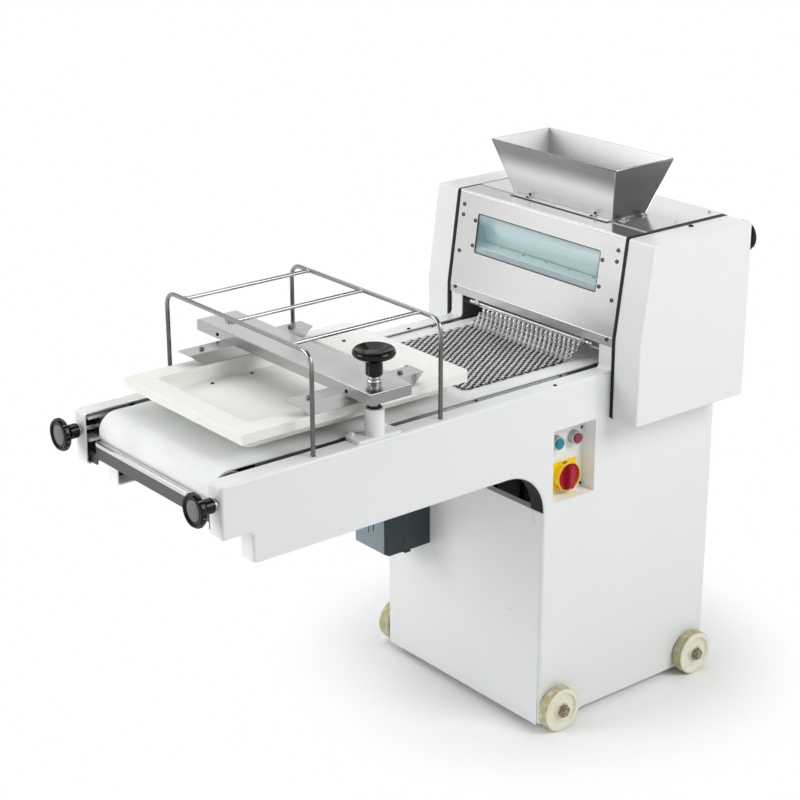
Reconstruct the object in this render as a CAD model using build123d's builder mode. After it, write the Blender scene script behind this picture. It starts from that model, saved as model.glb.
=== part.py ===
from build123d import *
import os
from math import atan2, cos, degrees, pi, radians, sin, sqrt, tan

# Overall sizes in millimetres: X across, Y from the outfeed end to the rear, Z up from the floor
frame_width = 520
conveyor_reach = 794
cabinet_length = 506
arm_top = 787
head_height = 282
front_knob_reach = 50.5
rear_knob_reach = 49.5

# Side frames: folded sheet with a rim turned inwards all round
sheet = 3
flange = 40
bend = 6
corner = 8
nose_length = 67
nose_height = 108
arm_height = 172
throat_radius = 100
floor_gap = 13.5

# Head with its slanted front
head_offset = 182.5
head_bend_height = 71
head_setback = 30
cover_sheet = 1.5
cover_lip = 19
cover_top_depth = 67
window_side_margin = 68
window_bottom = 153.5
window_height = 88
pane_overlap = 10
pane_thickness = 3

# Lid and hopper
lid_front_lap = 8
lid_lip = 4.5
hopper_bottom_width = 304
hopper_bottom_depth = 98
hopper_top_width = 383
hopper_top_depth = 171.5
hopper_height = 120.5
hopper_front_offset = 96
hopper_foot = 18
hopper_tab = 20

# Side housings and their rubber edging
housing_gap = 4
housing_depth = 74
housing_sheet = 2
housing_bend = 5
housing_under_gear = 11
trim_width = 8
trim_wall = 1.5

# Cabinet panels
panel_sheet = 2
panel_lap = 25
panel_lip = 18
front_panel_inset = 7
front_panel_drop = 0.5
rear_panel_top_gap = 9
vent_length = 90
vent_width = 6
vent_pitch = 16
vent_count = 6

# Wheels on shoulder bolts
wheel_radius = 50
wheel_width = 26
wheel_front_inset = 42.6
wheel_rear_inset = 48.5
axle_radius = 8
axle_collar = 3.7
nut_across = 24

# Belt conveyor
belt_side_gap = 20
belt_thickness = 2.5
belt_radius = 39
tail_gap = 20
tail_journal = 10
tension_travel = 8
tension_lead = 2
tension_screw_radius = 5
block_width = 30
block_length = 44
block_height = 40
ledge_thickness = 6
ledge_length = 100
bed_overhang = 14
bed_skirt = 22
tube_size = 25
tube_offsets = (150, 500, 850)
tie_bar_height = 32
tie_bar_roll = 6
tie_bar_drop = 20.4
tie_bar_gap = 2
tie_bar_thickness = 4

# Sheeting rollers, gears and drive
roller_radius = 50.5
nip = 3
nip_travel = 5
roller_rise = 70
belt_roller_gap = 12.5
roller_front_gap = 45
journal = 12.5
roller_gear_teeth = 26
drive_gear_teeth = 40
belt_gear_teeth = 25
gear_width = 16
gear_spacing = 4
gear_slack = 0.27
bearing_size = 60
bearing_depth = 14
gap_screw_radius = 6
gap_screw_rise = 98
gap_screw_side = 17
gap_lead = 2
tie_rod_radius = 8
slide_thickness = 10
slide_height = 80
guide_height = 10
scraper_thickness = 3
scraper_gap = 1
scraper_pane_gap = 4
motor_radius = 65
motor_length = 250
motor_height = 111
motor_shaft = 12
motor_pulley_radius = 38
drive_pulley_radius = 72
vee_belt_width = 10
vee_belt_depth = 8
pulley_width = 16

# Chain mat on its rod
mat_side_gap = 41
mat_thickness = 3
mat_rod_radius = 5
mat_rod_height = 42
mat_rod_inset = 8.5
mat_board_gap = 12
mat_columns = 24
mat_rows = 11
mat_wire = 4.5

# Press board, beam, posts and guard
board_side_gap = 16
board_front_offset = 86
board_length = 554
board_rim = 46
board_rim_height = 20
board_depth = 43
board_floor = 9
board_inset = 28
board_above_belt = 19
board_corner = 20
beam_overhang = 32
beam_offset = 317
beam_depth = 98
beam_height = 23
beam_sheet = 2
bracket_height = 27
bracket_width = 44
bracket_length = 304
bracket_offset = 213
bracket_slant = 30
bolt_radius = 3
bolt_inset = 42
post_inset = 20
post_radius = 19.5
post_height = 61
post_base_length = 102
post_base_height = 7.5
press_screw_radius = 8
press_low = 10
press_high = 25
press_lead = 4
guard_inset = 16
guard_rod_radius = 4.5
guard_bar_radius = 4
guard_bar_spacing = 180
guard_front_offset = 217.5
guard_length = 308.5
guard_rise = 203
guard_bend = 28
guard_foot = 15

# Knobs
tension_disc_radius = 33.5
tension_disc = 14
tension_hub = 30
gap_disc_radius = 35
gap_disc = 14
gap_hub = 26
knob_hub_radius = 15
knob_collar_radius = 11.5
gap_collar_radius = 8.5
press_disc_radius = 42
press_disc = 27
press_hub = 27
press_hub_radius = 16.5
press_boss = 14

# Controls
recess_front = 22
recess_length = 122
recess_drop = 94
recess_height = 165
recess_depth = 36
recess_sheet = 1.5
button_spacing = 52
button_drop = 43
button_radius = 11
button_travel = 4
switch_drop = 124
switch_size = 64
switch_dial_radius = 29.5
box_side = 47
box_width = 105
box_reach = 130.5
box_height = 150
box_low = 306
gland_bore = 6.5
gland_length = 26
gland_side = 150
gland_height = 110

# Clearances
running = 0.06
clear = 0.3

# Places along, across and up the machine
overall_length = front_knob_reach + conveyor_reach + cabinet_length + rear_knob_reach
half = frame_width / 2
arm_front = front_knob_reach - overall_length / 2
cabinet_front = arm_front + conveyor_reach
cabinet_rear = cabinet_front + cabinet_length
head_front = cabinet_front + head_offset
head_top = arm_top + head_height
head_bend = arm_top + head_bend_height
arm_bottom = arm_top - arm_height
nose_bottom = arm_top - nose_height
frame_head_front = head_front + cover_sheet
web = half - sheet
rim_inner = half - flange
belt_half = rim_inner - belt_side_gap
belt_top = arm_top
tail_y = arm_front + tail_gap + belt_radius
belt_axis_z = belt_top - belt_radius
pulley_radius = belt_radius - belt_thickness - clear
lower_y = head_front + roller_front_gap + roller_radius
lower_z = belt_top + belt_roller_gap + roller_radius
roller_distance = 2 * roller_radius + nip
gear_module = roller_distance / roller_gear_teeth
rear_y = lower_y + sqrt(roller_distance**2 - roller_rise**2)
rear_z = lower_z + roller_rise
upper_y = lower_y
upper_z = lower_z + 2 * roller_rise
train_distance = gear_module * (drive_gear_teeth + belt_gear_teeth) / 2
drive_y = lower_y + sqrt(train_distance**2 - (lower_z - belt_axis_z) ** 2)
gap_rod_y = rear_y + roller_radius + nip_travel + tie_rod_radius + 8
slide_front = rear_y - slide_height / 2
slide_rear = gap_rod_y + 14
slide_x = half + clear
gap_screw_x = half + gap_screw_side
gap_screw_z = rear_z + gap_screw_rise
gear_plane = half + bearing_depth + 2
drive_gear_plane = gear_plane + gear_width + gear_spacing
housing_inner = half + housing_gap
housing_outer = housing_inner + housing_depth
belt_gear_tip = gear_module * (belt_gear_teeth / 2 + 0.8)
housing_bottom = belt_axis_z - belt_gear_tip - housing_under_gear
rod_y = head_front + mat_rod_inset
rod_z = belt_top + mat_rod_height
board_half = belt_half + 4
board_front = arm_front + board_front_offset
board_rear = board_front + board_length
board_bottom = belt_top + board_above_belt
board_top = board_bottom + board_depth
beam_bottom = board_top + bracket_height
beam_top = beam_bottom + beam_height
beam_y = arm_front + beam_offset + beam_depth / 2
post_x = half - post_inset
guard_x = half - guard_inset
guard_y = (arm_front + guard_front_offset, arm_front + guard_front_offset + guard_length)
guard_top = arm_top + guard_rise
wheel_y = (cabinet_front + wheel_front_inset, cabinet_rear - wheel_rear_inset)
hopper_y = head_front + hopper_front_offset + hopper_bottom_depth / 2
lid_top = head_top + 2 * cover_sheet
recess_y = cabinet_front + recess_front + recess_length / 2
recess_top = arm_top - recess_drop
plate_x = half - recess_depth
panel_half = rim_inner + panel_lap
inner_corner = corner - sheet + 1
floor_z = floor_gap + sheet + panel_sheet
motor_z = floor_z + motor_height

os.makedirs("parts", exist_ok=True)


def save(part, label):
    """Label a finished piece and write it to its own file."""
    part.label = label
    export_step(part, f"parts/{label}.step")


def across(x):
    """Plane square to the X axis, drawn in (Y, Z)."""
    return Plane.YZ.offset(x)


def facing_front(y):
    """Plane square to the Y axis, drawn in (X, Z); a negative extrusion runs to the rear."""
    return Plane.XZ.offset(-y)


def axial_section(plane):
    """Plane through the axis of another plane, drawn in (radius, height)."""
    return Plane(plane.origin, x_dir=plane.x_dir, z_dir=-plane.y_dir)


def left_hand(part):
    """The same piece for the far side of the machine."""
    return mirror(part, about=Plane.YZ)


# Side frames: arm, cabinet side and head cheek folded from one sheet
def frame_outline():
    with BuildSketch() as outline:
        with BuildLine():
            Polyline(
                (arm_front, arm_top),
                (frame_head_front, arm_top),
                (frame_head_front, head_bend),
                (frame_head_front + head_setback, head_top),
                (cabinet_rear, head_top),
                (cabinet_rear, floor_gap),
                (cabinet_front, floor_gap),
                (cabinet_front, arm_bottom),
                (arm_front + nose_length, arm_bottom),
                (arm_front + nose_length, nose_bottom),
                (arm_front, nose_bottom),
                close=True,
            )
        make_face()
        throat = outline.vertices().sort_by_distance((cabinet_front, arm_bottom, 0))[0]
        fillet([v for v in outline.vertices() if v != throat], corner)
        fillet(outline.vertices().sort_by_distance((cabinet_front, arm_bottom, 0))[0], throat_radius)
    return outline.sketch


def side_frame(with_controls):
    outline = frame_outline()
    with BuildPart() as frame:
        with BuildSketch(across(rim_inner)):
            add(outline)
        extrude(amount=flange)
        fillet(frame.faces().sort_by(Axis.X)[-1].outer_wire().edges(), bend)
        with BuildSketch(across(rim_inner)):
            add(outline)
            offset(amount=-sheet)
        extrude(amount=flange - sheet, mode=Mode.SUBTRACT)
        # Ledges that guide the tension block
        with BuildSketch(across(rim_inner + 8)):
            ledge_y = arm_front + sheet + 10 + ledge_length / 2
            ledge_z = block_height / 2 + clear + ledge_thickness / 2
            with Locations((ledge_y, belt_axis_z - ledge_z), (ledge_y, belt_axis_z + ledge_z)):
                Rectangle(ledge_length, ledge_thickness)
        extrude(until=Until.NEXT)
        # Strips that guide the slide of the gap carriage
        with BuildSketch(across(half)):
            guide_length = slide_rear - slide_front - 38
            with Locations((slide_front + guide_length / 2, rear_z)):
                with GridLocations(1, slide_height + 2 * clear + guide_height, 1, 2):
                    Rectangle(guide_length, guide_height)
        extrude(amount=slide_thickness + 2)
        # Shaft holes, the slots of the gap carriage, axle holes and the control opening
        with BuildSketch(across(web - 1)):
            with Locations((upper_y, upper_z), (lower_y, lower_z), (drive_y, belt_axis_z)):
                Circle(journal + 8)
            with Locations((rear_y + nip_travel / 2, rear_z)):
                SlotOverall(2 * journal + nip_travel + 10, 2 * journal + 8)
            with Locations((gap_rod_y + nip_travel / 2, rear_z)):
                SlotOverall(2 * tie_rod_radius + nip_travel + 8, 2 * tie_rod_radius + 6)
            with Locations(*[(y, wheel_radius) for y in wheel_y]):
                Circle(axle_radius + running)
            if with_controls:
                with Locations((recess_y, recess_top - recess_height / 2)):
                    Rectangle(recess_length, recess_height)
        extrude(amount=sheet + 2, mode=Mode.SUBTRACT)
        # Holes in the top rim for the guard feet and the press screw
        with BuildSketch(Plane.XY.offset(arm_top - sheet - 1)):
            with Locations(*[(guard_x, y) for y in guard_y]):
                Circle(guard_rod_radius + running)
            with Locations((post_x, beam_y)):
                Circle(press_screw_radius + 1)
        extrude(amount=sheet + 2, mode=Mode.SUBTRACT)
        # Hole in the arm's end for the tension screw
        with BuildSketch(facing_front(arm_front - 1)):
            with Locations((post_x, belt_axis_z)):
                Circle(tension_screw_radius + clear)
        extrude(amount=-(sheet + 2), mode=Mode.SUBTRACT)
    return frame.part


save(side_frame(True), "side_frame_right")
save(left_hand(side_frame(False)), "side_frame_left")

# Base plate on the bottom rims
with BuildPart() as base_plate:
    base_length = cabinet_length - 2 * (sheet + panel_sheet + inner_corner)
    with Locations((0, (cabinet_front + cabinet_rear) / 2, floor_gap + sheet)):
        Box(2 * web, base_length, panel_sheet, align=(Align.CENTER, Align.CENTER, Align.MIN))
save(base_plate.part, "base_plate")

# Cabinet front panel on the front rims, open above its folded top edge
panel_bottom = floor_gap + sheet + inner_corner
with BuildPart() as cabinet_front_panel:
    front_half = half - front_panel_inset
    front_bottom = floor_gap + front_panel_drop
    front_top = arm_bottom - throat_radius - front_panel_drop
    with BuildSketch(facing_front(cabinet_front)):
        with Locations((0, (front_bottom + front_top) / 2)):
            Rectangle(2 * front_half, front_top - front_bottom)
    extrude(amount=panel_sheet)
    with Locations((0, cabinet_front - panel_sheet, front_top)):
        lip_box = (2 * (rim_inner - clear), panel_lip, panel_sheet)
        Box(*lip_box, align=(Align.CENTER, Align.MIN, Align.MAX))
    fillet(cabinet_front_panel.edges().filter_by(Axis.X).group_by(Axis.Y)[0].sort_by(Axis.Z)[-1], panel_sheet * 0.7)
save(cabinet_front_panel.part, "cabinet_front_panel")

# Rear panel with vent slots and the cable entry
with BuildPart() as rear_panel:
    rear_top = head_top - rear_panel_top_gap
    with BuildSketch(facing_front(cabinet_rear - sheet)):
        with Locations((0, (panel_bottom + rear_top) / 2)):
            Rectangle(2 * panel_half, rear_top - panel_bottom)
        with Locations((0, arm_bottom - vent_length)):
            with GridLocations(2 * vent_length, vent_pitch, 2, vent_count):
                SlotOverall(vent_length, vent_width, mode=Mode.SUBTRACT)
        with Locations((-gland_side, gland_height)):
            Circle(gland_bore + 3, mode=Mode.SUBTRACT)
    extrude(amount=panel_sheet)
save(rear_panel.part, "rear_panel")

# Cable gland with a hexagon flange outside and a lock nut inside
with BuildPart() as cable_gland:
    with BuildSketch(facing_front(cabinet_rear - sheet)):
        with Locations((-gland_side, gland_height)):
            RegularPolygon(gland_bore + 6, 6)
    extrude(amount=-7)
    with BuildSketch(facing_front(cabinet_rear - sheet)):
        with Locations((-gland_side, gland_height)):
            Circle(gland_bore + 3 - running)
    extrude(amount=gland_length / 2 - 4)
    with BuildSketch(facing_front(cabinet_rear - sheet - panel_sheet)):
        with Locations((-gland_side, gland_height)):
            RegularPolygon(gland_bore + 5, 6)
    extrude(amount=4)
    with BuildSketch(facing_front(cabinet_rear - sheet + 7)):
        with Locations((-gland_side, gland_height)):
            Circle(gland_bore + 4)
    extrude(amount=-(gland_length / 2 - 3), taper=12)
    gland_axis = Plane.XZ.offset(-(cabinet_rear + gland_length))
    with BuildSketch(gland_axis):
        with Locations((-gland_side, gland_height)):
            Circle(gland_bore)
    extrude(amount=3 * gland_length, mode=Mode.SUBTRACT)
save(cable_gland.part, "cable_gland")

# Electrical box on the cabinet front: two slots in its face, a rib down its side and a latch under it
with BuildPart() as electrical_box:
    box_x = -(half - box_side) + box_width / 2
    box_rear = cabinet_front - panel_sheet
    box_y = box_rear - box_reach / 2
    box_bottom = floor_gap + box_low
    with Locations((box_x, box_y, box_bottom + box_height / 2)):
        Box(box_width, box_reach, box_height)
    lower_edges = electrical_box.faces().sort_by(Axis.Z)[0].edges()
    chamfer(lower_edges.filter_by(Axis.X).sort_by(Axis.Y)[0], 8, 14)
    fillet(electrical_box.edges().filter_by(Axis.Z).group_by(Axis.Y)[0], 3)
    with BuildSketch(facing_front(box_rear - box_reach)):
        with Locations((box_x - 2.5, box_bottom + 70), (box_x + 14.5, box_bottom + 79)):
            Rectangle(3, 54)
    extrude(amount=-4, mode=Mode.SUBTRACT)
    with Locations((box_x + box_width / 2 + 1, box_y, box_bottom + box_height / 2)):
        Box(2, 10, box_height)
    with Locations((box_x + box_width / 2 - 4, box_y, box_bottom)):
        Box(12, 16, 4, align=(Align.CENTER, Align.CENTER, Align.MAX))
save(electrical_box.part, "electrical_box")

# Cross tubes that tie the arms and carry the belt bed
bed_top = belt_top - belt_thickness
bed_bottom = bed_top - panel_sheet - bed_skirt
with BuildPart() as cross_tubes:
    for offset_y in tube_offsets:
        with BuildSketch(across(-web)):
            with Locations((arm_front + offset_y, bed_bottom - tube_size / 2)):
                Rectangle(tube_size, tube_size)
                Rectangle(tube_size - 2 * panel_sheet, tube_size - 2 * panel_sheet, mode=Mode.SUBTRACT)
        extrude(amount=2 * web)
save(cross_tubes.part, "cross_tubes")

# Belt bed: a folded pan that the belt slides on, a little wider than the belt
with BuildPart() as belt_bed:
    bed_front = tail_y + belt_radius + tension_travel + 6
    bed_rear = drive_y - belt_radius - 6
    bed_half = belt_half + bed_overhang
    with BuildSketch(facing_front(bed_front)):
        with BuildLine():
            Polyline((-bed_half, bed_bottom), (-bed_half, bed_top), (bed_half, bed_top), (bed_half, bed_bottom))
            offset(amount=panel_sheet, side=Side.RIGHT, kind=Kind.INTERSECTION)
        make_face()
    extrude(amount=-(bed_rear - bed_front))
save(belt_bed.part, "belt_bed")

# Front tie bar: a plate with a rolled top edge close under the belt's nose, its ears on the nose rims
with BuildPart() as front_tie_bar:
    roll_z = belt_axis_z - tie_bar_drop
    roll_y = tail_y - sqrt((belt_radius + tie_bar_roll + tie_bar_gap) ** 2 - tie_bar_drop**2)
    tie_y = roll_y - tie_bar_roll
    tie_bottom = roll_z - tie_bar_height
    ear_bottom = nose_bottom + sheet
    with BuildSketch(facing_front(tie_y)):
        with Locations((0, roll_z - tie_bar_height / 2)):
            Rectangle(2 * belt_half, tie_bar_height)
        ear_height = tie_bottom + 8 - ear_bottom
        with Locations((0, ear_bottom + ear_height / 2)):
            with GridLocations(2 * rim_inner, 1, 2, 1):
                Rectangle(2 * (rim_inner - belt_half), ear_height)
    extrude(amount=-tie_bar_thickness)
    with BuildSketch(across(-belt_half)):
        with Locations((roll_y, roll_z)):
            Circle(tie_bar_roll)
    extrude(amount=2 * belt_half)
save(front_tie_bar.part, "front_tie_bar")

# Conveyor belt: an endless loop round the tail and drive rollers
with BuildPart() as conveyor_belt:
    with BuildSketch(across(-belt_half)):
        with Locations(((tail_y + drive_y) / 2, belt_axis_z)):
            SlotCenterToCenter(drive_y - tail_y, 2 * belt_radius)
            SlotCenterToCenter(drive_y - tail_y, 2 * (belt_radius - belt_thickness), mode=Mode.SUBTRACT)
    extrude(amount=2 * belt_half)
save(conveyor_belt.part, "conveyor_belt")

# Front cover: lip, slanted window face and top lap in one folded sheet, with two hangers for the mat rod
slant = atan2(head_setback, head_top - head_bend)
window_z = arm_top + window_bottom + window_height / 2
window_y = head_front + (window_z - head_bend) * tan(slant)
window_plane = Plane((0, window_y, window_z), x_dir=(1, 0, 0), z_dir=(0, -cos(slant), sin(slant)))
window_half = half - window_side_margin
cover_half = half - 0.5
hanger_x = belt_half - 30
with BuildPart() as front_cover:
    with BuildSketch(across(-cover_half)):
        with BuildLine():
            Polyline(
                (frame_head_front, head_bend - cover_lip),
                (frame_head_front, head_bend),
                (frame_head_front + head_setback, head_top),
                (head_front + head_setback + cover_top_depth, head_top),
            )
            offset(amount=cover_sheet, side=Side.LEFT, kind=Kind.INTERSECTION)
        make_face()
    extrude(amount=2 * cover_half)
    with BuildSketch(window_plane):
        Rectangle(2 * window_half, window_height)
    extrude(amount=10, both=True, mode=Mode.SUBTRACT)
    for x in (-hanger_x, hanger_x):
        with BuildSketch(across(x - 5)):
            with Locations((rod_y, rod_z)):
                Circle(mat_rod_radius + running + 2)
            with BuildLine():
                Polyline(
                    (frame_head_front, head_bend - 2),
                    (frame_head_front, rod_z + 2),
                    (rod_y, rod_z),
                    (frame_head_front + 3, head_bend - 2),
                    close=True,
                )
            make_face()
            with Locations((rod_y, rod_z)):
                Circle(mat_rod_radius + running, mode=Mode.SUBTRACT)
        extrude(amount=10)
save(front_cover.part, "front_cover")

# Clear pane behind the window opening
with BuildPart() as window_pane:
    with BuildSketch(window_plane.offset(-cover_sheet)):
        Rectangle(2 * (window_half + pane_overlap), window_height + 2 * pane_overlap)
    extrude(amount=-pane_thickness)
save(window_pane.part, "window_pane")

# Top lid over the rollers, raised on its turned-down edges, with the feed opening
with BuildPart() as top_lid:
    lid_front = head_front + head_setback + cover_top_depth - lid_front_lap
    lid_rear = cabinet_rear - 2
    lid_y = (lid_front + lid_rear) / 2
    lid_length = lid_rear - lid_front
    with BuildSketch(Plane.XY.offset(head_top + cover_sheet)):
        with Locations((0, lid_y)):
            Rectangle(2 * cover_half, lid_length)
        with Locations((0, hopper_y)):
            Rectangle(hopper_bottom_width - 6, hopper_bottom_depth - 6, mode=Mode.SUBTRACT)
    extrude(amount=cover_sheet)
    with BuildSketch(Plane.XY.offset(head_top)):
        with Locations((0, lid_y + lid_front_lap / 2 + 1)):
            Rectangle(2 * cover_half, lid_length - lid_front_lap - 2)
        with Locations((0, lid_y - lid_lip)):
            Rectangle(2 * (cover_half - lid_lip), lid_length, mode=Mode.SUBTRACT)
    extrude(amount=cover_sheet)
save(top_lid.part, "top_lid")

# Hopper: four flared walls, with a front foot and two tabs each side
with BuildPart() as hopper:
    with BuildSketch(Plane.XY.offset(lid_top)):
        with Locations((0, hopper_y)):
            Rectangle(hopper_bottom_width, hopper_bottom_depth)
    with BuildSketch(Plane.XY.offset(lid_top + hopper_height)):
        with Locations((0, hopper_y)):
            Rectangle(hopper_top_width, hopper_top_depth)
    loft()
    with BuildSketch(Plane.XY.offset(lid_top)):
        with Locations((0, hopper_y - hopper_bottom_depth / 2 - hopper_foot / 2 + 1)):
            Rectangle(hopper_bottom_width, hopper_foot + 2)
        with Locations((0, hopper_y)):
            with GridLocations(hopper_bottom_width + hopper_foot, hopper_bottom_depth * 0.6, 2, 2):
                Rectangle(hopper_foot + 2, hopper_tab)
    extrude(amount=cover_sheet)
    with BuildSketch(Plane.XY.offset(lid_top)):
        with Locations((0, hopper_y)):
            Rectangle(hopper_bottom_width - 2 * cover_sheet, hopper_bottom_depth - 2 * cover_sheet)
    with BuildSketch(Plane.XY.offset(lid_top + hopper_height)):
        with Locations((0, hopper_y)):
            Rectangle(hopper_top_width - 2 * cover_sheet, hopper_top_depth - 2 * cover_sheet)
    loft(mode=Mode.SUBTRACT)
save(hopper.part, "hopper")


# Side housings: deep pans that close over the gears and shaft ends
def housing_outline(grow):
    with BuildSketch() as outline:
        with BuildLine():
            Polyline(
                (head_front, housing_bottom),
                (head_front, head_bend),
                (head_front + head_setback, head_top),
                (cabinet_rear, head_top),
                (cabinet_rear, housing_bottom),
                close=True,
            )
        make_face()
        fillet(outline.vertices(), housing_bend)
        if grow:
            offset(amount=grow)
    return outline.sketch


housing_edge = housing_outline(0)
housing_inside = housing_outline(-housing_sheet)
trim_edge = housing_outline(trim_wall)
trim_inside = housing_outline(-housing_sheet - trim_wall)


def side_housing(with_screw):
    with BuildPart() as housing:
        with BuildSketch(across(housing_inner)):
            add(housing_edge)
        extrude(amount=housing_depth)
        fillet(housing.faces().sort_by(Axis.X)[-1].outer_wire().edges(), housing_bend - 1)
        with BuildSketch(across(housing_inner)):
            add(housing_inside)
        extrude(amount=housing_depth - housing_sheet, mode=Mode.SUBTRACT)
        if with_screw:
            with BuildSketch(facing_front(cabinet_rear + 1)):
                with Locations((gap_screw_x, gap_screw_z)):
                    Circle(gap_screw_radius + clear)
            extrude(amount=housing_sheet + 2, mode=Mode.SUBTRACT)
    return housing.part


save(side_housing(True), "side_housing_right")
save(left_hand(side_housing(False)), "side_housing_left")

# Rubber edging: a U strip between each housing's rim and the frame
with BuildPart() as edge_trims:
    with BuildSketch(across(half)):
        add(trim_edge)
        add(trim_inside, mode=Mode.SUBTRACT)
    extrude(amount=trim_width)
    with BuildSketch(across(housing_inner)):
        add(housing_edge)
        add(housing_inside, mode=Mode.SUBTRACT)
    extrude(amount=trim_width, mode=Mode.SUBTRACT)
    mirror(about=Plane.YZ)
save(edge_trims.part, "edge_trims")

# Rod that the chain mat hangs from
with BuildPart() as mat_rod:
    with BuildSketch(across(-(belt_half - 5))):
        with Locations((rod_y, rod_z)):
            Circle(mat_rod_radius)
    extrude(amount=2 * (belt_half - 5))
save(mat_rod.part, "mat_rod")

# Chain mat: a net that loops round the rod, hangs to the belt and lies forward on it
mat_half = belt_half - mat_side_gap
mat_front = board_rear + mat_board_gap
mat_low = belt_top + clear
mat_bend_y = rod_y - mat_rod_height + 5
with BuildPart() as chain_mat:
    with BuildSketch(across(-mat_half)):
        with BuildLine():
            Polyline(
                (mat_front, mat_low),
                (mat_bend_y, mat_low),
                (rod_y, rod_z - mat_rod_radius - 2 * mat_thickness),
                (rod_y, rod_z),
                (mat_bend_y - mat_thickness / 2, mat_low + mat_thickness),
                (mat_front, mat_low + mat_thickness),
                close=True,
            )
        make_face()
        with Locations((rod_y, rod_z)):
            Circle(mat_rod_radius + clear + 2)
            Circle(mat_rod_radius + clear, mode=Mode.SUBTRACT)
    extrude(amount=2 * mat_half)
    column = 2 * mat_half / mat_columns
    row = (mat_bend_y - mat_front) / mat_rows
    with BuildSketch(Plane.XY.offset(mat_low - 1)):
        with Locations((0, (mat_front + mat_bend_y) / 2)):
            with GridLocations(column, row, mat_columns, mat_rows):
                Rectangle(column - mat_wire, row - mat_wire)
        with Locations((0, (mat_bend_y + rod_y) / 2 - 2)):
            with GridLocations(column, row, mat_columns, 1):
                Rectangle(column - mat_wire, rod_y - mat_bend_y - 20)
    extrude(amount=mat_rod_height, mode=Mode.SUBTRACT)
save(chain_mat.part, "chain_mat")

# Guard: two bent hoops joined by three bars, with feet through the arm tops
with BuildPart() as guard_frame:
    for y in guard_y:
        with BuildLine(facing_front(y)) as hoop:
            FilletPolyline(
                (-guard_x, arm_top - guard_foot),
                (-guard_x, guard_top),
                (guard_x, guard_top),
                (guard_x, arm_top - guard_foot),
                radius=guard_bend,
            )
        with BuildSketch(Plane.XY.offset(arm_top - guard_foot)):
            with Locations((-guard_x, y)):
                Circle(guard_rod_radius)
        sweep(path=hoop.wires()[0])
    with BuildSketch(facing_front(guard_y[0])):
        with Locations((0, guard_top)):
            with GridLocations(guard_bar_spacing, 1, 3, 1):
                Circle(guard_bar_radius)
    extrude(amount=-guard_length)
    # Nuts drawn up under the arm tops
    with BuildSketch(Plane.XY.offset(arm_top - sheet)):
        with Locations(*[(x, y) for x in (-guard_x, guard_x) for y in guard_y]):
            RegularPolygon(guard_rod_radius + 4, 6)
    extrude(amount=-7)
save(guard_frame.part, "guard_frame")

# Posts that guide the press beam: a sleeve on a base plate with two inner ears
with BuildPart() as posts:
    with BuildSketch(Plane.XY.offset(arm_top)):
        with Locations((post_x - 1, beam_y)):
            RectangleRounded(flange - 4, post_base_length, 3)
        with Locations((rim_inner - 2, beam_y)):
            with GridLocations(1, post_base_length - 24, 1, 2):
                RectangleRounded(16, 22, 5)
    extrude(amount=post_base_height)
    with BuildSketch(Plane.XY.offset(arm_top + post_base_height)):
        with Locations((post_x, beam_y)):
            Circle(post_radius)
    extrude(amount=post_height - post_base_height)
    chamfer(posts.faces().sort_by(Axis.Z)[-1].edges(), 2)
    with Locations((post_x, beam_y, arm_top + post_height)):
        Hole(press_screw_radius + running)
    mirror(about=Plane.YZ)
save(posts.part, "posts")

# Press beam: an inverted pan across the arms
with BuildPart() as press_beam:
    with Locations((0, beam_y, beam_bottom)):
        Box(2 * (half + beam_overhang), beam_depth, beam_height, align=(Align.CENTER, Align.CENTER, Align.MIN))
    fillet(press_beam.faces().sort_by(Axis.Z)[-1].edges(), 2)
    with BuildSketch(Plane.XY.offset(beam_bottom)):
        with Locations((0, beam_y)):
            Rectangle(2 * (half + beam_overhang - beam_sheet), beam_depth - 2 * beam_sheet)
    extrude(amount=beam_height - beam_sheet, mode=Mode.SUBTRACT)
    with Locations((post_x, beam_y, beam_top), (-post_x, beam_y, beam_top)):
        Hole(press_screw_radius + running, depth=beam_height)
save(press_beam.part, "press_beam")

# Carrier brackets: angles with slanted ends that hang the board under the beam
bracket_x = board_half - bracket_width / 2
bracket_front = arm_front + bracket_offset
bracket_rear = bracket_front + bracket_length
bolt_y = (bracket_front + bolt_inset, bracket_rear - bolt_inset)
with BuildPart() as carrier_brackets:
    for x in (-bracket_x, bracket_x):
        with BuildSketch(Plane.XY.offset(beam_bottom)):
            with Locations((x, (bracket_front + bracket_rear) / 2)):
                Rectangle(bracket_width, bracket_length)
            with Locations(*[(x, y) for y in bolt_y]):
                Circle(bolt_radius + running, mode=Mode.SUBTRACT)
        extrude(amount=-beam_sheet)
        with BuildSketch(across(x + bracket_width / 2)):
            with BuildLine():
                Polyline(
                    (bracket_front, beam_bottom),
                    (bracket_rear, beam_bottom),
                    (bracket_rear - bracket_slant, board_top),
                    (bracket_front + bracket_slant, board_top),
                    close=True,
                )
            make_face()
        extrude(amount=-beam_sheet)
save(carrier_brackets.part, "carrier_brackets")

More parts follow.
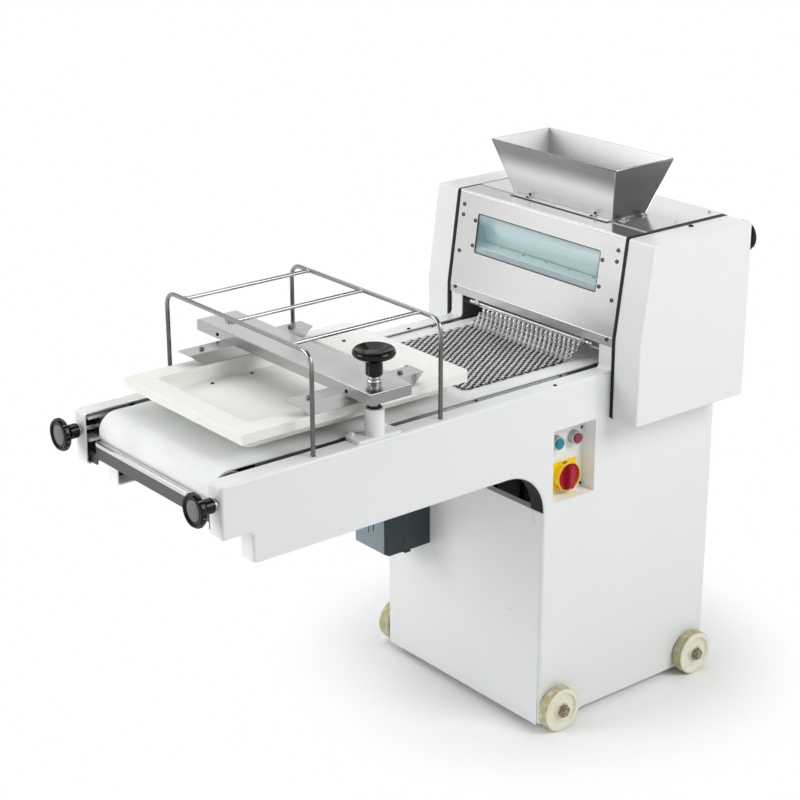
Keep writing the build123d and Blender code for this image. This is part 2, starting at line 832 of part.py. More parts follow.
# Pressure board: a tray with a broad rim and a smaller pressing face below
with BuildPart() as pressure_board:
    board_y = (board_front + board_rear) / 2
    with BuildSketch(Plane.XY.offset(board_top)) as rim_shape:
        with Locations((0, board_y)):
            Rectangle(2 * board_half, board_length)
        fillet(rim_shape.vertices().group_by(Axis.Y)[-1], board_corner)
    extrude(amount=-board_rim_height)
    fillet(pressure_board.faces().sort_by(Axis.Z)[-1].edges(), 2)
    with BuildSketch(Plane.XY.offset(board_bottom)):
        with Locations((0, board_y)):
            RectangleRounded(2 * (board_half - board_inset), board_length - 2 * board_inset, board_corner)
    extrude(amount=board_depth - board_rim_height)
    fillet(pressure_board.faces().sort_by(Axis.Z)[0].edges(), 4)
    with BuildSketch(Plane.XY.offset(board_bottom + board_floor)):
        with Locations((0, board_y)):
            RectangleRounded(2 * (board_half - board_rim), board_length - 2 * board_rim, 10)
    extrude(amount=board_depth, mode=Mode.SUBTRACT)
    with BuildSketch(Plane.XY.offset(board_top + 1)):
        with Locations(*[(x, y) for x in (-bracket_x, bracket_x) for y in bolt_y]):
            Circle(bolt_radius + running)
    extrude(amount=-board_rim_height, mode=Mode.SUBTRACT)
save(pressure_board.part, "pressure_board")

# Bolts that hold the board to the brackets, each with a spacer under the bracket
with BuildPart() as bracket_bolts:
    bolt_places = [(x, y) for x in (-bracket_x, bracket_x) for y in bolt_y]
    with BuildSketch(Plane.XY.offset(board_top - board_rim_height + 4)):
        with Locations(*bolt_places):
            Circle(bolt_radius)
    extrude(amount=board_rim_height - 4 + bracket_height)
    with BuildSketch(Plane.XY.offset(beam_bottom)):
        with Locations(*bolt_places):
            Circle(2 * bolt_radius)
    extrude(amount=bolt_radius + 1, taper=20)
    with BuildSketch(Plane.XY.offset(board_top)):
        with Locations(*bolt_places):
            Circle(2 * bolt_radius + 2)
    extrude(amount=bracket_height - beam_sheet)
save(bracket_bolts.part, "bracket_bolts")


# Hand knobs: a hub with a neck, and a fluted disc sunk inside its rim
def hand_knob(plane, disc_radius, hub_length, disc_height, stud_radius):
    top = hub_length + disc_height
    with BuildPart() as knob:
        with BuildSketch(axial_section(plane)):
            with BuildLine():
                Polyline(
                    (stud_radius, 0),
                    (knob_hub_radius - 1.5, 0),
                    (knob_hub_radius, 2),
                    (knob_hub_radius, hub_length * 0.65),
                    (knob_hub_radius - 3, hub_length * 0.72),
                    (knob_hub_radius - 3, hub_length * 0.9),
                    (knob_hub_radius, hub_length),
                    (disc_radius - 2, hub_length + 1),
                    (disc_radius, hub_length + 4),
                    (disc_radius, top - 4),
                    (disc_radius - 3, top),
                    (disc_radius - 6, top),
                    (disc_radius - 8, top - 3),
                    (0, top - 3),
                    (0, hub_length * 0.6),
                    (stud_radius, hub_length * 0.6),
                    close=True,
                )
            make_face()
        revolve(axis=Axis(plane.origin, plane.z_dir))
        with BuildSketch(plane.offset(hub_length)):
            with PolarLocations(disc_radius + 9.5, 8):
                Circle(12)
        extrude(amount=disc_height, mode=Mode.SUBTRACT)
    return knob.part


# Tension knobs at the arm ends, each on its long screw with a collar against the arm
for side, name in ((1, "tension_knob_right"), (-1, "tension_knob_left")):
    hub_end = arm_front - front_knob_reach + tension_hub + tension_disc
    knob_plane = Plane((side * post_x, hub_end, belt_axis_z), x_dir=(1, 0, 0), z_dir=(0, -1, 0))
    handle = hand_knob(knob_plane, tension_disc_radius, tension_hub, tension_disc, tension_screw_radius)
    with BuildPart() as tension_screw:
        with BuildSketch(knob_plane.offset(tension_hub * 0.6 - clear)):
            Circle(tension_screw_radius - running)
        extrude(amount=-(hub_end - arm_front + tension_hub + tail_y - arm_front + block_length))
        with BuildSketch(knob_plane):
            Circle(knob_collar_radius)
        extrude(amount=-(arm_front - hub_end - clear))
    save(Compound(children=[handle, tension_screw.part]), name)

# Tension blocks that carry the tail roller between the ledges
with BuildPart() as tension_blocks:
    with Locations((rim_inner + 2 + block_width / 2, tail_y, belt_axis_z)):
        Box(block_width, block_length, block_height)
    with BuildSketch(across(rim_inner + 2)):
        with Locations((tail_y, belt_axis_z)):
            Circle(tail_journal + running)
    extrude(amount=12, mode=Mode.SUBTRACT)
    with BuildSketch(facing_front(tail_y - block_length)):
        with Locations((post_x, belt_axis_z)):
            Circle(tension_screw_radius)
    extrude(amount=-2 * block_length, mode=Mode.SUBTRACT)
    mirror(about=Plane.YZ)
save(tension_blocks.part, "tension_blocks")


# Rollers: a turned body with a journal at each end
def roller(y, z, radius, journal_radius, left_end, right_end):
    with BuildPart() as body:
        with BuildSketch(across(-belt_half)):
            with Locations((y, z)):
                Circle(radius)
        extrude(amount=2 * belt_half)
        chamfer(body.edges().filter_by(GeomType.CIRCLE), 2)
        with BuildSketch(across(left_end)):
            with Locations((y, z)):
                Circle(journal_radius)
        extrude(amount=right_end - left_end)
    return body.part


bearing_end = half + bearing_depth + 1
roller_gear_end = gear_plane + gear_width + 2
drive_gear_end = drive_gear_plane + gear_width + 2
save(roller(tail_y, belt_axis_z, pulley_radius, tail_journal, -rim_inner - 13, rim_inner + 13), "tail_roller")
save(roller(drive_y, belt_axis_z, pulley_radius, journal, -bearing_end, drive_gear_end), "belt_drive_roller")
save(roller(upper_y, upper_z, roller_radius, journal, -bearing_end, roller_gear_end), "upper_roller")
save(roller(rear_y, rear_z, roller_radius, journal, -bearing_end, roller_gear_end), "rear_roller")
save(roller(lower_y, lower_z, roller_radius, journal, -bearing_end, drive_gear_end), "lower_roller")


# Gears: straight slim teeth that stay in mesh while the nip opens, set in mesh at rest
def tooth_ring(teeth, phase):
    pitch_radius = gear_module * teeth / 2
    tip = pitch_radius + 0.8 * gear_module
    root = pitch_radius - 1.2 * gear_module
    half_tooth = gear_module * (pi / 4 - gear_slack)
    tip_angle = (half_tooth - (tip - pitch_radius) * tan(radians(20))) / tip
    root_angle = (half_tooth + (pitch_radius - root) * tan(radians(20))) / root
    points = []
    for i in range(teeth):
        middle = phase + 2 * pi * i / teeth
        for radius, angle in (
            (root, middle - root_angle),
            (tip, middle - tip_angle),
            (tip, middle + tip_angle),
            (root, middle + root_angle),
        ):
            points.append((radius * cos(angle), radius * sin(angle)))
    return points


def gear(y, z, x, teeth, phase, bore):
    with BuildPart() as wheel:
        with BuildSketch(across(x)):
            with Locations((y, z)):
                Polygon(*tooth_ring(teeth, phase), align=None)
                Circle(bore, mode=Mode.SUBTRACT)
        extrude(amount=gear_width)
    return wheel.part


def meshed(phase, teeth, towards, other_teeth):
    """Phase of a gear that meshes with one at a known phase, seen along the line of centres."""
    ahead = (phase - towards) * teeth / other_teeth
    return towards + pi - ahead + pi / other_teeth


lower_to_rear = atan2(rear_z - lower_z, rear_y - lower_y)
rear_to_upper = atan2(upper_z - rear_z, upper_y - rear_y)
lower_to_drive = atan2(belt_axis_z - lower_z, drive_y - lower_y)
lower_phase = lower_to_rear
rear_phase = meshed(lower_phase, roller_gear_teeth, lower_to_rear, roller_gear_teeth)
upper_phase = meshed(rear_phase, roller_gear_teeth, rear_to_upper, roller_gear_teeth)
belt_phase = meshed(lower_to_drive, drive_gear_teeth, lower_to_drive, belt_gear_teeth)
key_fit = journal + running
save(gear(upper_y, upper_z, gear_plane, roller_gear_teeth, upper_phase, key_fit), "upper_roller_gear")
save(gear(rear_y, rear_z, gear_plane, roller_gear_teeth, rear_phase, key_fit), "rear_roller_gear")
save(gear(drive_y, belt_axis_z, drive_gear_plane, belt_gear_teeth, belt_phase, key_fit), "belt_drive_gear")
lower_gear = gear(lower_y, lower_z, gear_plane, roller_gear_teeth, lower_phase, key_fit)
belt_train_gear = gear(lower_y, lower_z, drive_gear_plane, drive_gear_teeth, lower_to_drive, key_fit)
with BuildPart() as lower_roller_gears:
    add([lower_gear, belt_train_gear])
    with BuildSketch(across(gear_plane + gear_width)):
        with Locations((lower_y, lower_z)):
            Circle(journal + 12)
            Circle(key_fit, mode=Mode.SUBTRACT)
    extrude(amount=gear_spacing)
save(lower_roller_gears.part, "lower_roller_gears")

# Flange bearings on the outside of the frames
with BuildPart() as shaft_bearings:
    bearing_places = [(upper_y, upper_z), (lower_y, lower_z), (drive_y, belt_axis_z)]
    with BuildSketch(across(half)):
        with Locations(*bearing_places):
            RectangleRounded(bearing_size, bearing_size, 8)
            Circle(journal + running, mode=Mode.SUBTRACT)
    extrude(amount=bearing_depth / 2)
    with BuildSketch(across(half + bearing_depth / 2)):
        with Locations(*bearing_places):
            Circle(bearing_size * 0.42)
            Circle(journal + running, mode=Mode.SUBTRACT)
    extrude(amount=bearing_depth / 2)
    mirror(about=Plane.YZ)
save(shaft_bearings.part, "shaft_bearings")

# Gap carriage: a slide plate each side, joined by a rod, that carries the rear roller
with BuildPart() as slide_plate:
    with BuildSketch(across(slide_x)):
        with Locations(((slide_front + slide_rear) / 2, rear_z)):
            Rectangle(slide_rear - slide_front, slide_height)
        with Locations((rear_y, rear_z)):
            Circle(journal + running, mode=Mode.SUBTRACT)
        with Locations((gap_rod_y, rear_z)):
            Circle(tie_rod_radius + running, mode=Mode.SUBTRACT)
    extrude(amount=slide_thickness)
with BuildPart() as right_slide:
    add(slide_plate.part)
    lug_height = gap_screw_rise + 14
    with BuildSketch(across(slide_x)):
        with Locations((slide_rear - 12, rear_z + (slide_height / 2 + lug_height) / 2)):
            Rectangle(24, lug_height - slide_height / 2)
    extrude(amount=slide_thickness)
    with BuildSketch(across(slide_x)):
        with Locations((slide_rear - 12, gap_screw_z)):
            Rectangle(24, 28)
    extrude(amount=gap_screw_side + 14)
    with BuildSketch(facing_front(slide_rear + 1)):
        with Locations((gap_screw_x, gap_screw_z)):
            Circle(gap_screw_radius + running)
    extrude(amount=26, mode=Mode.SUBTRACT)
with BuildPart() as tie_rod:
    with BuildSketch(across(-slide_x - slide_thickness)):
        with Locations((gap_rod_y, rear_z)):
            Circle(tie_rod_radius)
    extrude(amount=2 * (slide_x + slide_thickness))
gap_pieces = [right_slide.part, left_hand(slide_plate.part), tie_rod.part]
save(Compound(children=gap_pieces), "gap_carriage")

# Gap knob on the rear of the right housing, with its screw into the slide
knob_foot = cabinet_rear + rear_knob_reach - gap_hub - gap_disc
gap_plane = Plane((gap_screw_x, knob_foot, gap_screw_z), x_dir=(1, 0, 0), z_dir=(0, 1, 0))
gap_handle = hand_knob(gap_plane, gap_disc_radius, gap_hub, gap_disc, gap_screw_radius)
with BuildPart() as gap_screw:
    with BuildSketch(gap_plane.offset(gap_hub * 0.6 - clear)):
        Circle(gap_screw_radius - running)
    extrude(amount=-(gap_hub + cabinet_rear - slide_rear + 30))
    with BuildSketch(gap_plane):
        Circle(gap_collar_radius)
    extrude(amount=-(knob_foot - cabinet_rear - clear))
save(Compound(children=[gap_handle, gap_screw.part]), "gap_knob")

# Scraper shelves: one close in front of the upper and lower rollers, one behind the rear roller
shelf_drop = 38
rear_drop = 44


def shelf_reach(drop):
    """Distance from a roller's axis to the edge of a shelf that clears its surface."""
    return sqrt(roller_radius**2 - (drop - scraper_thickness) ** 2) + scraper_gap


with BuildPart() as scraper_bars:
    shelf_rear = upper_y - shelf_reach(shelf_drop)
    pane_front = head_front + (upper_z - shelf_drop - head_bend) * tan(slant)
    shelf_front = pane_front + (cover_sheet + pane_thickness) / cos(slant) + scraper_pane_gap
    for y, z, depth in (
        (shelf_rear, upper_z - shelf_drop, shelf_front - shelf_rear),
        (lower_y - shelf_reach(shelf_drop), lower_z - shelf_drop, -28),
        (rear_y + nip_travel + shelf_reach(rear_drop), rear_z - rear_drop, 36),
    ):
        with BuildSketch(across(-web)):
            with Locations((y + depth / 2, z)):
                Rectangle(abs(depth), scraper_thickness)
        extrude(amount=2 * web)
save(scraper_bars.part, "scraper_bars")

# Motor on the base plate
pulley_plane = -(web - 5)
motor_left = pulley_plane + pulley_width + 46
with BuildPart() as motor:
    with BuildSketch(across(motor_left)):
        with Locations((drive_y, motor_z)):
            Circle(motor_radius)
    extrude(amount=motor_length)
    chamfer(motor.edges().filter_by(GeomType.CIRCLE), 8)
    with Locations((motor_left + motor_length / 2, drive_y, floor_z)):
        Box(motor_length * 0.6, 1.8 * motor_radius, 12, align=(Align.CENTER, Align.CENTER, Align.MIN))
        Box(motor_length * 0.5, motor_radius, motor_height, align=(Align.CENTER, Align.CENTER, Align.MIN))
    with BuildSketch(across(motor_left)):
        with Locations((drive_y, motor_z)):
            Circle(motor_shaft + running)
    extrude(amount=60, mode=Mode.SUBTRACT)
save(motor.part, "motor")


# Grooved pulleys and the belt between them
def vee_pulley(z, radius, bore):
    axis_plane = Plane((pulley_plane, drive_y, z), x_dir=(0, 1, 0), z_dir=(1, 0, 0))
    rim = radius + 3
    floor = radius - vee_belt_depth - clear
    with BuildPart() as pulley:
        with BuildSketch(axial_section(axis_plane)):
            with BuildLine():
                Polyline(
                    (bore, 0),
                    (rim, 0),
                    (rim, 2),
                    (floor, (pulley_width - vee_belt_width) / 2 - clear),
                    (floor, (pulley_width + vee_belt_width) / 2 + clear),
                    (rim, pulley_width - 2),
                    (rim, pulley_width),
                    (bore, pulley_width),
                    close=True,
                )
            make_face()
        revolve(axis=Axis(axis_plane.origin, axis_plane.z_dir))
    return pulley.part


save(vee_pulley(belt_axis_z, drive_pulley_radius, key_fit), "drive_pulley")
motor_sheave = vee_pulley(motor_z, motor_pulley_radius, motor_shaft - 1)
with BuildPart() as motor_pulley:
    add(motor_sheave)
    with BuildSketch(across(pulley_plane)):
        with Locations((drive_y, motor_z)):
            Circle(motor_shaft)
    extrude(amount=pulley_width + 46 + 55)
save(motor_pulley.part, "motor_pulley")

with BuildPart() as drive_belt:
    with BuildSketch(across(pulley_plane + (pulley_width - vee_belt_width) / 2)):
        with Locations((drive_y, belt_axis_z)):
            Circle(drive_pulley_radius)
        with Locations((drive_y, motor_z)):
            Circle(motor_pulley_radius)
        make_hull()
        offset(amount=-vee_belt_depth, mode=Mode.SUBTRACT)
    extrude(amount=vee_belt_width)
save(drive_belt.part, "drive_belt")

# Press knob: a smooth disc, dished on top, that runs down into its hub
press_plane = Plane((post_x, beam_y, beam_top + press_boss), x_dir=(1, 0, 0), z_dir=(0, 0, 1))
with BuildPart() as press_knob:
    knob_top = press_hub + press_disc
    with BuildSketch(axial_section(press_plane)):
        with BuildLine():
            Polyline((press_screw_radius, 0), (press_hub_radius - 2, 0), (press_hub_radius, 2), (press_hub_radius, press_hub))
            Spline(
                (press_hub_radius, press_hub),
                (press_hub_radius + 8, press_hub + 7),
                (press_disc_radius - 3, press_hub + 12),
                (press_disc_radius, press_hub + 18),
                (press_disc_radius - 2, press_hub + 24),
                (press_disc_radius - 6, knob_top),
            )
            Polyline(
                (press_disc_radius - 6, knob_top),
                (press_hub_radius + 1, knob_top - 8),
                (0, knob_top - 8),
                (0, press_hub * 0.6),
                (press_screw_radius, press_hub * 0.6),
                (press_screw_radius, 0),
            )
        make_face()
    revolve(axis=Axis(press_plane.origin, press_plane.z_dir))
save(press_knob.part, "press_knob")

# Press screw through the beam into the right post, with its collar and a turned boss of two beads
screw_foot = arm_top + press_low + 6
with BuildPart() as press_screw:
    with BuildSketch(Plane.XY.offset(screw_foot)):
        with Locations((post_x, beam_y)):
            Circle(press_screw_radius)
    extrude(amount=beam_top - screw_foot + 4)
    with BuildSketch(axial_section(press_plane.offset(clear - press_boss))):
        boss = press_boss - clear
        with BuildLine():
            Polyline(
                (0, 0),
                (12.5, 0),
                (14, boss * 0.2),
                (13, boss * 0.4),
                (press_screw_radius + 1.5, boss * 0.5),
                (press_screw_radius + 1.5, boss * 0.58),
                (press_screw_radius + 3.5, boss * 0.7),
                (press_screw_radius + 3.5, boss * 0.85),
                (press_screw_radius + 2, boss),
                (0, boss),
                close=True,
            )
        make_face()
    revolve(axis=Axis(press_plane.origin, press_plane.z_dir))
    with BuildSketch(Plane.XY.offset(beam_top + press_boss)):
        with Locations((post_x, beam_y)):
            Circle(press_screw_radius - running)
    extrude(amount=press_hub * 0.55)
    with BuildSketch(Plane.XY.offset(beam_top - beam_sheet - clear)):
        with Locations((post_x, beam_y)):
            Circle(press_screw_radius + 5)
    extrude(amount=-8)
save(press_screw.part, "press_screw")

# Guide rod fixed to the beam's far end, sliding in the left post
with BuildPart() as guide_rod:
    with BuildSketch(Plane.XY.offset(screw_foot)):
        with Locations((-post_x, beam_y)):
            Circle(press_screw_radius)
    extrude(amount=beam_top - screw_foot + 4)
    with BuildSketch(Plane.XY.offset(beam_top)):
        with Locations((-post_x, beam_y)):
            RegularPolygon(press_screw_radius + 4, 6)
    extrude(amount=5)
    with BuildSketch(Plane.XY.offset(beam_top - beam_sheet)):
        with Locations((-post_x, beam_y)):
            Circle(press_screw_radius + 5)
    extrude(amount=-8)
save(guide_rod.part, "guide_rod")

# Control recess let into the right side: a shallow box with a plate at the back
button_z = recess_top - button_drop
switch_z = recess_top - switch_drop
button_y = (recess_y - 24, recess_y - 24 + button_spacing)
switch_y = recess_y + 5
with BuildPart() as control_recess:
    with BuildSketch(across(plate_x - recess_sheet)):
        with Locations((recess_y, recess_top - recess_height / 2)):
            Rectangle(recess_length, recess_height)
    extrude(amount=recess_depth + recess_sheet)
    offset(amount=-recess_sheet, openings=control_recess.faces().sort_by(Axis.X)[-1])
    with BuildSketch(across(plate_x - 2 * recess_sheet)):
        with Locations(*[(y, button_z) for y in button_y], (switch_y, switch_z)):
            Circle(button_radius / 2 + running)
    extrude(amount=3 * recess_sheet, mode=Mode.SUBTRACT)
save(control_recess.part, "control_recess")

# Bright bezels round the two push buttons
bezel_length = 16
with BuildPart() as button_bezels:
    with BuildSketch(across(plate_x)):
        with Locations(*[(y, button_z) for y in button_y]):
            Circle(button_radius + 4)
            Circle(button_radius + clear, mode=Mode.SUBTRACT)
    extrude(amount=bezel_length)
save(button_bezels.part, "button_bezels")

# Push buttons: a cap on a stem
for y, name in zip(button_y, ("start_button", "stop_button")):
    with BuildPart() as push_button:
        with BuildSketch(across(plate_x + button_travel + 2)):
            with Locations((y, button_z)):
                Circle(button_radius)
        extrude(amount=bezel_length - button_travel + 1)
        chamfer(push_button.faces().sort_by(Axis.X)[-1].edges(), 1)
        with BuildSketch(across(plate_x - recess_sheet - button_travel - 6)):
            with Locations((y, button_z)):
                Circle(button_radius / 2)
        extrude(amount=recess_sheet + 2 * button_travel + 10)
    save(push_button.part, name)

# Switch plate with its round collar
with BuildPart() as switch_plate:
    with BuildSketch(across(plate_x)):
        with Locations((switch_y, switch_z)):
            RectangleRounded(switch_size, switch_size, 3)
            Circle(button_radius / 2 + running, mode=Mode.SUBTRACT)
    extrude(amount=3)
    with BuildSketch(across(plate_x + 3)):
        with Locations((switch_y, switch_z)):
            Circle(switch_dial_radius + 2)
            Circle(switch_dial_radius + clear, mode=Mode.SUBTRACT)
    extrude(amount=15)
save(switch_plate.part, "switch_plate")

# Switch dial with a bar handle across it
with BuildPart() as switch_dial:
    with BuildSketch(across(plate_x + 3 + clear)):
        with Locations((switch_y, switch_z)):
            Circle(switch_dial_radius)
    extrude(amount=10)
    with BuildSketch(across(plate_x + 13)):
        with Locations((switch_y, switch_z)):
            SlotOverall(2 * switch_dial_radius - 6, 18, rotation=90)
    extrude(amount=15, taper=10)
    with BuildSketch(across(plate_x - 12)):
        with Locations((switch_y, switch_z)):
            Circle(button_radius / 2)
    extrude(amount=18)
save(switch_dial.part, "switch_dial")


# Wheels: solid nylon with a raised hub and a sunk web
def wheel(plane):
    mid = wheel_width / 2
    with BuildPart() as tyre:
        with BuildSketch(axial_section(plane)):
            with BuildLine():
                Polyline(
                    (axle_radius + running, 0),
                    (axle_radius + 10, 0),
                    (axle_radius + 14, mid - 8),
                    (wheel_radius - 15, mid - 8),
                    (wheel_radius - 11, 0),
                    (wheel_radius - 3, 0),
                    (wheel_radius, 3),
                    (wheel_radius, wheel_width - 3),
                    (wheel_radius - 3, wheel_width),
                    (wheel_radius - 11, wheel_width),
                    (wheel_radius - 15, mid + 8),
                    (axle_radius + 14, mid + 8),
                    (axle_radius + 10, wheel_width),
                    (axle_radius + running, wheel_width),
                    close=True,
                )
            make_face()
        revolve(axis=Axis(plane.origin, plane.z_dir))
    return tyre.part


wheel_inner = half + axle_collar + clear
for end, y in zip(("front", "rear"), wheel_y):
    for side, direction in (("right", 1), ("left", -1)):
        hub = Plane((direction * wheel_inner, y, wheel_radius), x_dir=(0, 1, 0), z_dir=(direction, 0, 0))
        save(wheel(hub), f"wheel_{end}_{side}")

# Shoulder bolts that carry the wheels, with their nuts
with BuildPart() as axle_bolts:
    nut_start = wheel_inner + wheel_width + clear
    for y in wheel_y:
        with BuildSketch(across(web - 8)):
            with Locations((y, wheel_radius)):
                RegularPolygon(nut_across / 2, 6, major_radius=False)
        extrude(amount=8)
        with BuildSketch(across(web)):
            with Locations((y, wheel_radius)):
                Circle(axle_radius)
        extrude(amount=nut_start + 10 - web)
        with BuildSketch(across(half)):
            with Locations((y, wheel_radius)):
                Circle(axle_radius + 6)
        extrude(amount=axle_collar)
        with BuildSketch(across(nut_start)):
            with Locations((y, wheel_radius)):
                RegularPolygon(nut_across / 2, 6, major_radius=False)
        extrude(amount=8)
    mirror(about=Plane.YZ)
save(axle_bolts.part, "axle_bolts")
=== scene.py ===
from math import atan2, cos, pi, radians, sin

import bmesh
import bpy
from mathutils import Matrix, Vector
from mathutils.kdtree import KDTree


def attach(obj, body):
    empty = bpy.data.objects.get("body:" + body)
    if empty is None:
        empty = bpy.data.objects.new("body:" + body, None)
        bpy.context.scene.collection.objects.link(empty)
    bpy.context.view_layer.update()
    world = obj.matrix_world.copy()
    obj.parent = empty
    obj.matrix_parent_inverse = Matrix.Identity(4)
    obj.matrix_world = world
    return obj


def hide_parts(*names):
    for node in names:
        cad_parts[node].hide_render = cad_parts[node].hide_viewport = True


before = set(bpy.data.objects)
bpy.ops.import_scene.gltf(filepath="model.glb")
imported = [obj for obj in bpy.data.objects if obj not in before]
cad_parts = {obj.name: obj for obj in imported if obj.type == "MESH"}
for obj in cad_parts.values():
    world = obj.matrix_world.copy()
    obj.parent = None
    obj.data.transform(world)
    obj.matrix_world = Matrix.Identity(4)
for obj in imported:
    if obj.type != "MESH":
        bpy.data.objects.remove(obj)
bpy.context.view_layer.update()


# ---- Side frames and cabinet panels ----
# Folded sheet steel, powder coated white with a faint orange peel. The hidden inner faces and the
# flange in the notch under each arm carry painted shade, near black under the arms and grey in the cabinet.
class Signal:
    """One socket of a material's nodes, on which sums are written as on plain numbers."""

    def __init__(self, tree, socket):
        self.tree = tree
        self.socket = socket

    def node(self, kind, sockets, output=0, **settings):
        """Adds a node: settings first, then a value or a link for each socket named."""
        made = self.tree.nodes.new(kind)
        for name, value in settings.items():
            setattr(made, name, value)
        for name, value in sockets.items():
            if isinstance(value, Signal):
                self.tree.links.new(value.socket, made.inputs[name])
            else:
                made.inputs[name].default_value = value
        return Signal(self.tree, made.outputs[output])

    def maths(self, operation, first, second=0.0):
        return self.node("ShaderNodeMath", {0: first, 1: second}, operation=operation)

    def __add__(self, other):
        return self.maths("ADD", self, other)

    def __sub__(self, other):
        return self.maths("SUBTRACT", self, other)

    def __rsub__(self, other):
        return self.maths("SUBTRACT", other, self)

    def __mul__(self, other):
        return self.maths("MULTIPLY", self, other)

    __radd__ = __add__
    __rmul__ = __mul__

    def __abs__(self):
        return self.maths("ABSOLUTE", self)

    def rise(self, low, high):
        """0 up to low and 1 from high on, or the other way round where low is the larger."""
        return self.node("ShaderNodeMapRange", {"Value": self, "From Min": low, "From Max": high},
                         interpolation_type="SMOOTHSTEP")

    def tint(self, low, high):
        """A colour that goes from low to high with this signal."""
        return self.node("ShaderNodeMix", {0: self, 6: (*low, 1), 7: (*high, 1)}, output=2, data_type="RGBA")

    def over(self, under, colour):
        """Lays a colour over another one where this signal is high."""
        return self.node("ShaderNodeMix", {0: self, 6: under, 7: (*colour, 1)}, output=2, data_type="RGBA")

    def part(self, index):
        return self.node("ShaderNodeSeparateXYZ", {0: self}, output=index)

    def facing(self, index):
        """How far the surface points along one axis, from -1 to 1."""
        return self.node("ShaderNodeTexCoord", {}, output="Normal").part(index)

    def stretched(self, x, y, z):
        return self.node("ShaderNodeVectorMath", {0: self, 1: (x, y, z)}, operation="MULTIPLY")

    def moved(self, x, y, z):
        return self.node("ShaderNodeVectorMath", {0: self, 1: (x, y, z)}, operation="SUBTRACT")

    def length(self):
        return self.node("ShaderNodeVectorMath", {0: self}, output="Value", operation="LENGTH")

    def noise(self, scale, detail=2.0):
        return self.node("ShaderNodeTexNoise", {"Vector": self, "Scale": scale, "Detail": detail})

    def relief(self, depth):
        """Turns this signal into raised and sunk places, depth metres from low to high."""
        return self.node("ShaderNodeBump", {"Height": self, "Distance": depth, "Strength": 1.0})


def finish(name, **constants):
    """A material with its constant sockets set, its shader and the place on the object."""
    material = bpy.data.materials.new(name)
    material.use_nodes = True
    shader = material.node_tree.nodes["Principled BSDF"]
    for socket, value in constants.items():
        shader.inputs[socket.replace("_", " ")].default_value = value
    spot = material.node_tree.nodes.new("ShaderNodeTexCoord")
    return material, shader, Signal(material.node_tree, spot.outputs["Object"])


def feed(shader, **signals):
    for socket, signal in signals.items():
        signal.tree.links.new(signal.socket, shader.inputs[socket.replace("_", " ")])


def paint(material, *names):
    """Gives CAD nodes their finish."""
    for name in names:
        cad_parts[name].material_slots[0].material = material


def powder_coat(name, colour):
    """White coat: returns the material, its shader, the place on it and the tone so far."""
    coat, shader, spot = finish(name, Coat_Weight=0.2, Coat_Roughness=0.12)
    grey = tuple(0.93 * c for c in colour)
    # Random drift in tone, and painted shade that greys the coat towards the floor below z = 0.45 m.
    shade = spot.noise(2.2).rise(0.3, 0.7) * 0.35 + spot.part(2).rise(0.45, 0.0) * 0.35
    tone = shade.tint(colour, grey)
    feed(shader, Base_Color=tone, Roughness=spot.noise(9.0).rise(0.2, 0.8) * 0.1 + 0.27,
         Normal=spot.noise(420.0, 1.0).relief(0.00006))
    return coat, shader, spot, tone


white = (0.80, 0.82, 0.80)
painted_shade_black = (0.014, 0.015, 0.016)
white_coat = powder_coat("white_coat", white)[0]
paint(white_coat, "cabinet_front_panel", "rear_panel", "posts", "side_housing_left", "side_housing_right")

frame_coat, shader, spot, tone = powder_coat("white_coat_painted_shade_inside", white)
reach = abs(spot.part(0))
inner_face = (spot.facing(0) * spot.part(0)).rise(-0.1, -0.2) * reach.rise(0.25, 0.252)
notch = spot.part(1).rise(0.2, 0.19) * spot.part(1).rise(-0.1, -0.09) * spot.part(2).rise(0.5135, 0.5145)
notch_flange = notch * spot.part(2).rise(0.745, 0.74) * reach.rise(0.2574, 0.2568)
bare_steel_or_painted_shade = inner_face + notch_flange
# Painted shade: near black on the inner faces and notch flange, grey behind y = 0.32 m, with less coat and
# more roughness there.
tone = (bare_steel_or_painted_shade * spot.part(1).rise(0.3, 0.32)).over(bare_steel_or_painted_shade.over(tone, painted_shade_black), (0.36, 0.36, 0.365))
feed(shader, Base_Color=tone, Coat_Weight=0.2 - 0.2 * bare_steel_or_painted_shade,
     Roughness=spot.noise(9.0).rise(0.2, 0.8) * 0.1 + 0.27 + bare_steel_or_painted_shade * 0.6)
paint(frame_coat, "side_frame_left", "side_frame_right")


# ---- Panel screws ----
# Pan-head cross-recess screws: zinc-plated ones in a row down each rear rim hold the rear panel, and
# blackened ones in the arm tops and in the strips beside the belt hold the belt bed.
def mm(*sizes):
    return Vector(sizes) / 1000


def cross_screw(radius):
    """A pan head with a cross recess, standing on the plane z = 0."""
    bm = bmesh.new()
    bmesh.ops.create_grid(bm, x_segments=3, y_segments=3, size=0.5 * radius)
    for vert in bm.verts:
        for axis in (0, 1):
            if abs(vert.co[axis]) < 0.4 * radius:
                vert.co[axis] *= 0.72
        vert.co.z = 0.6 * radius
    rim = [edge for edge in bm.edges if edge.is_boundary]
    for out, height in ((0.82, 0.5), (1.0, 0.2), (1.0, 0.0)):
        grown = bmesh.ops.extrude_edge_only(bm, edges=rim)["geom"]
        for vert in grown:
            if isinstance(vert, bmesh.types.BMVert):
                flat = Vector((vert.co.x, vert.co.y, 0)).normalized() * out * radius
                vert.co = (flat.x, flat.y, height * radius)
        rim = [edge for edge in grown if isinstance(edge, bmesh.types.BMEdge) and edge.is_boundary]
    bmesh.ops.holes_fill(bm, edges=rim)
    recess = []
    for face in bm.faces:
        middle = face.calc_center_median()
        if middle.z > 0.59 * radius and min(abs(middle.x), abs(middle.y)) < 0.1 * radius:
            recess.append(face)
    bmesh.ops.recalc_face_normals(bm, faces=bm.faces)
    bmesh.ops.inset_region(bm, faces=recess, thickness=0.02 * radius, depth=-0.3 * radius)
    return bm


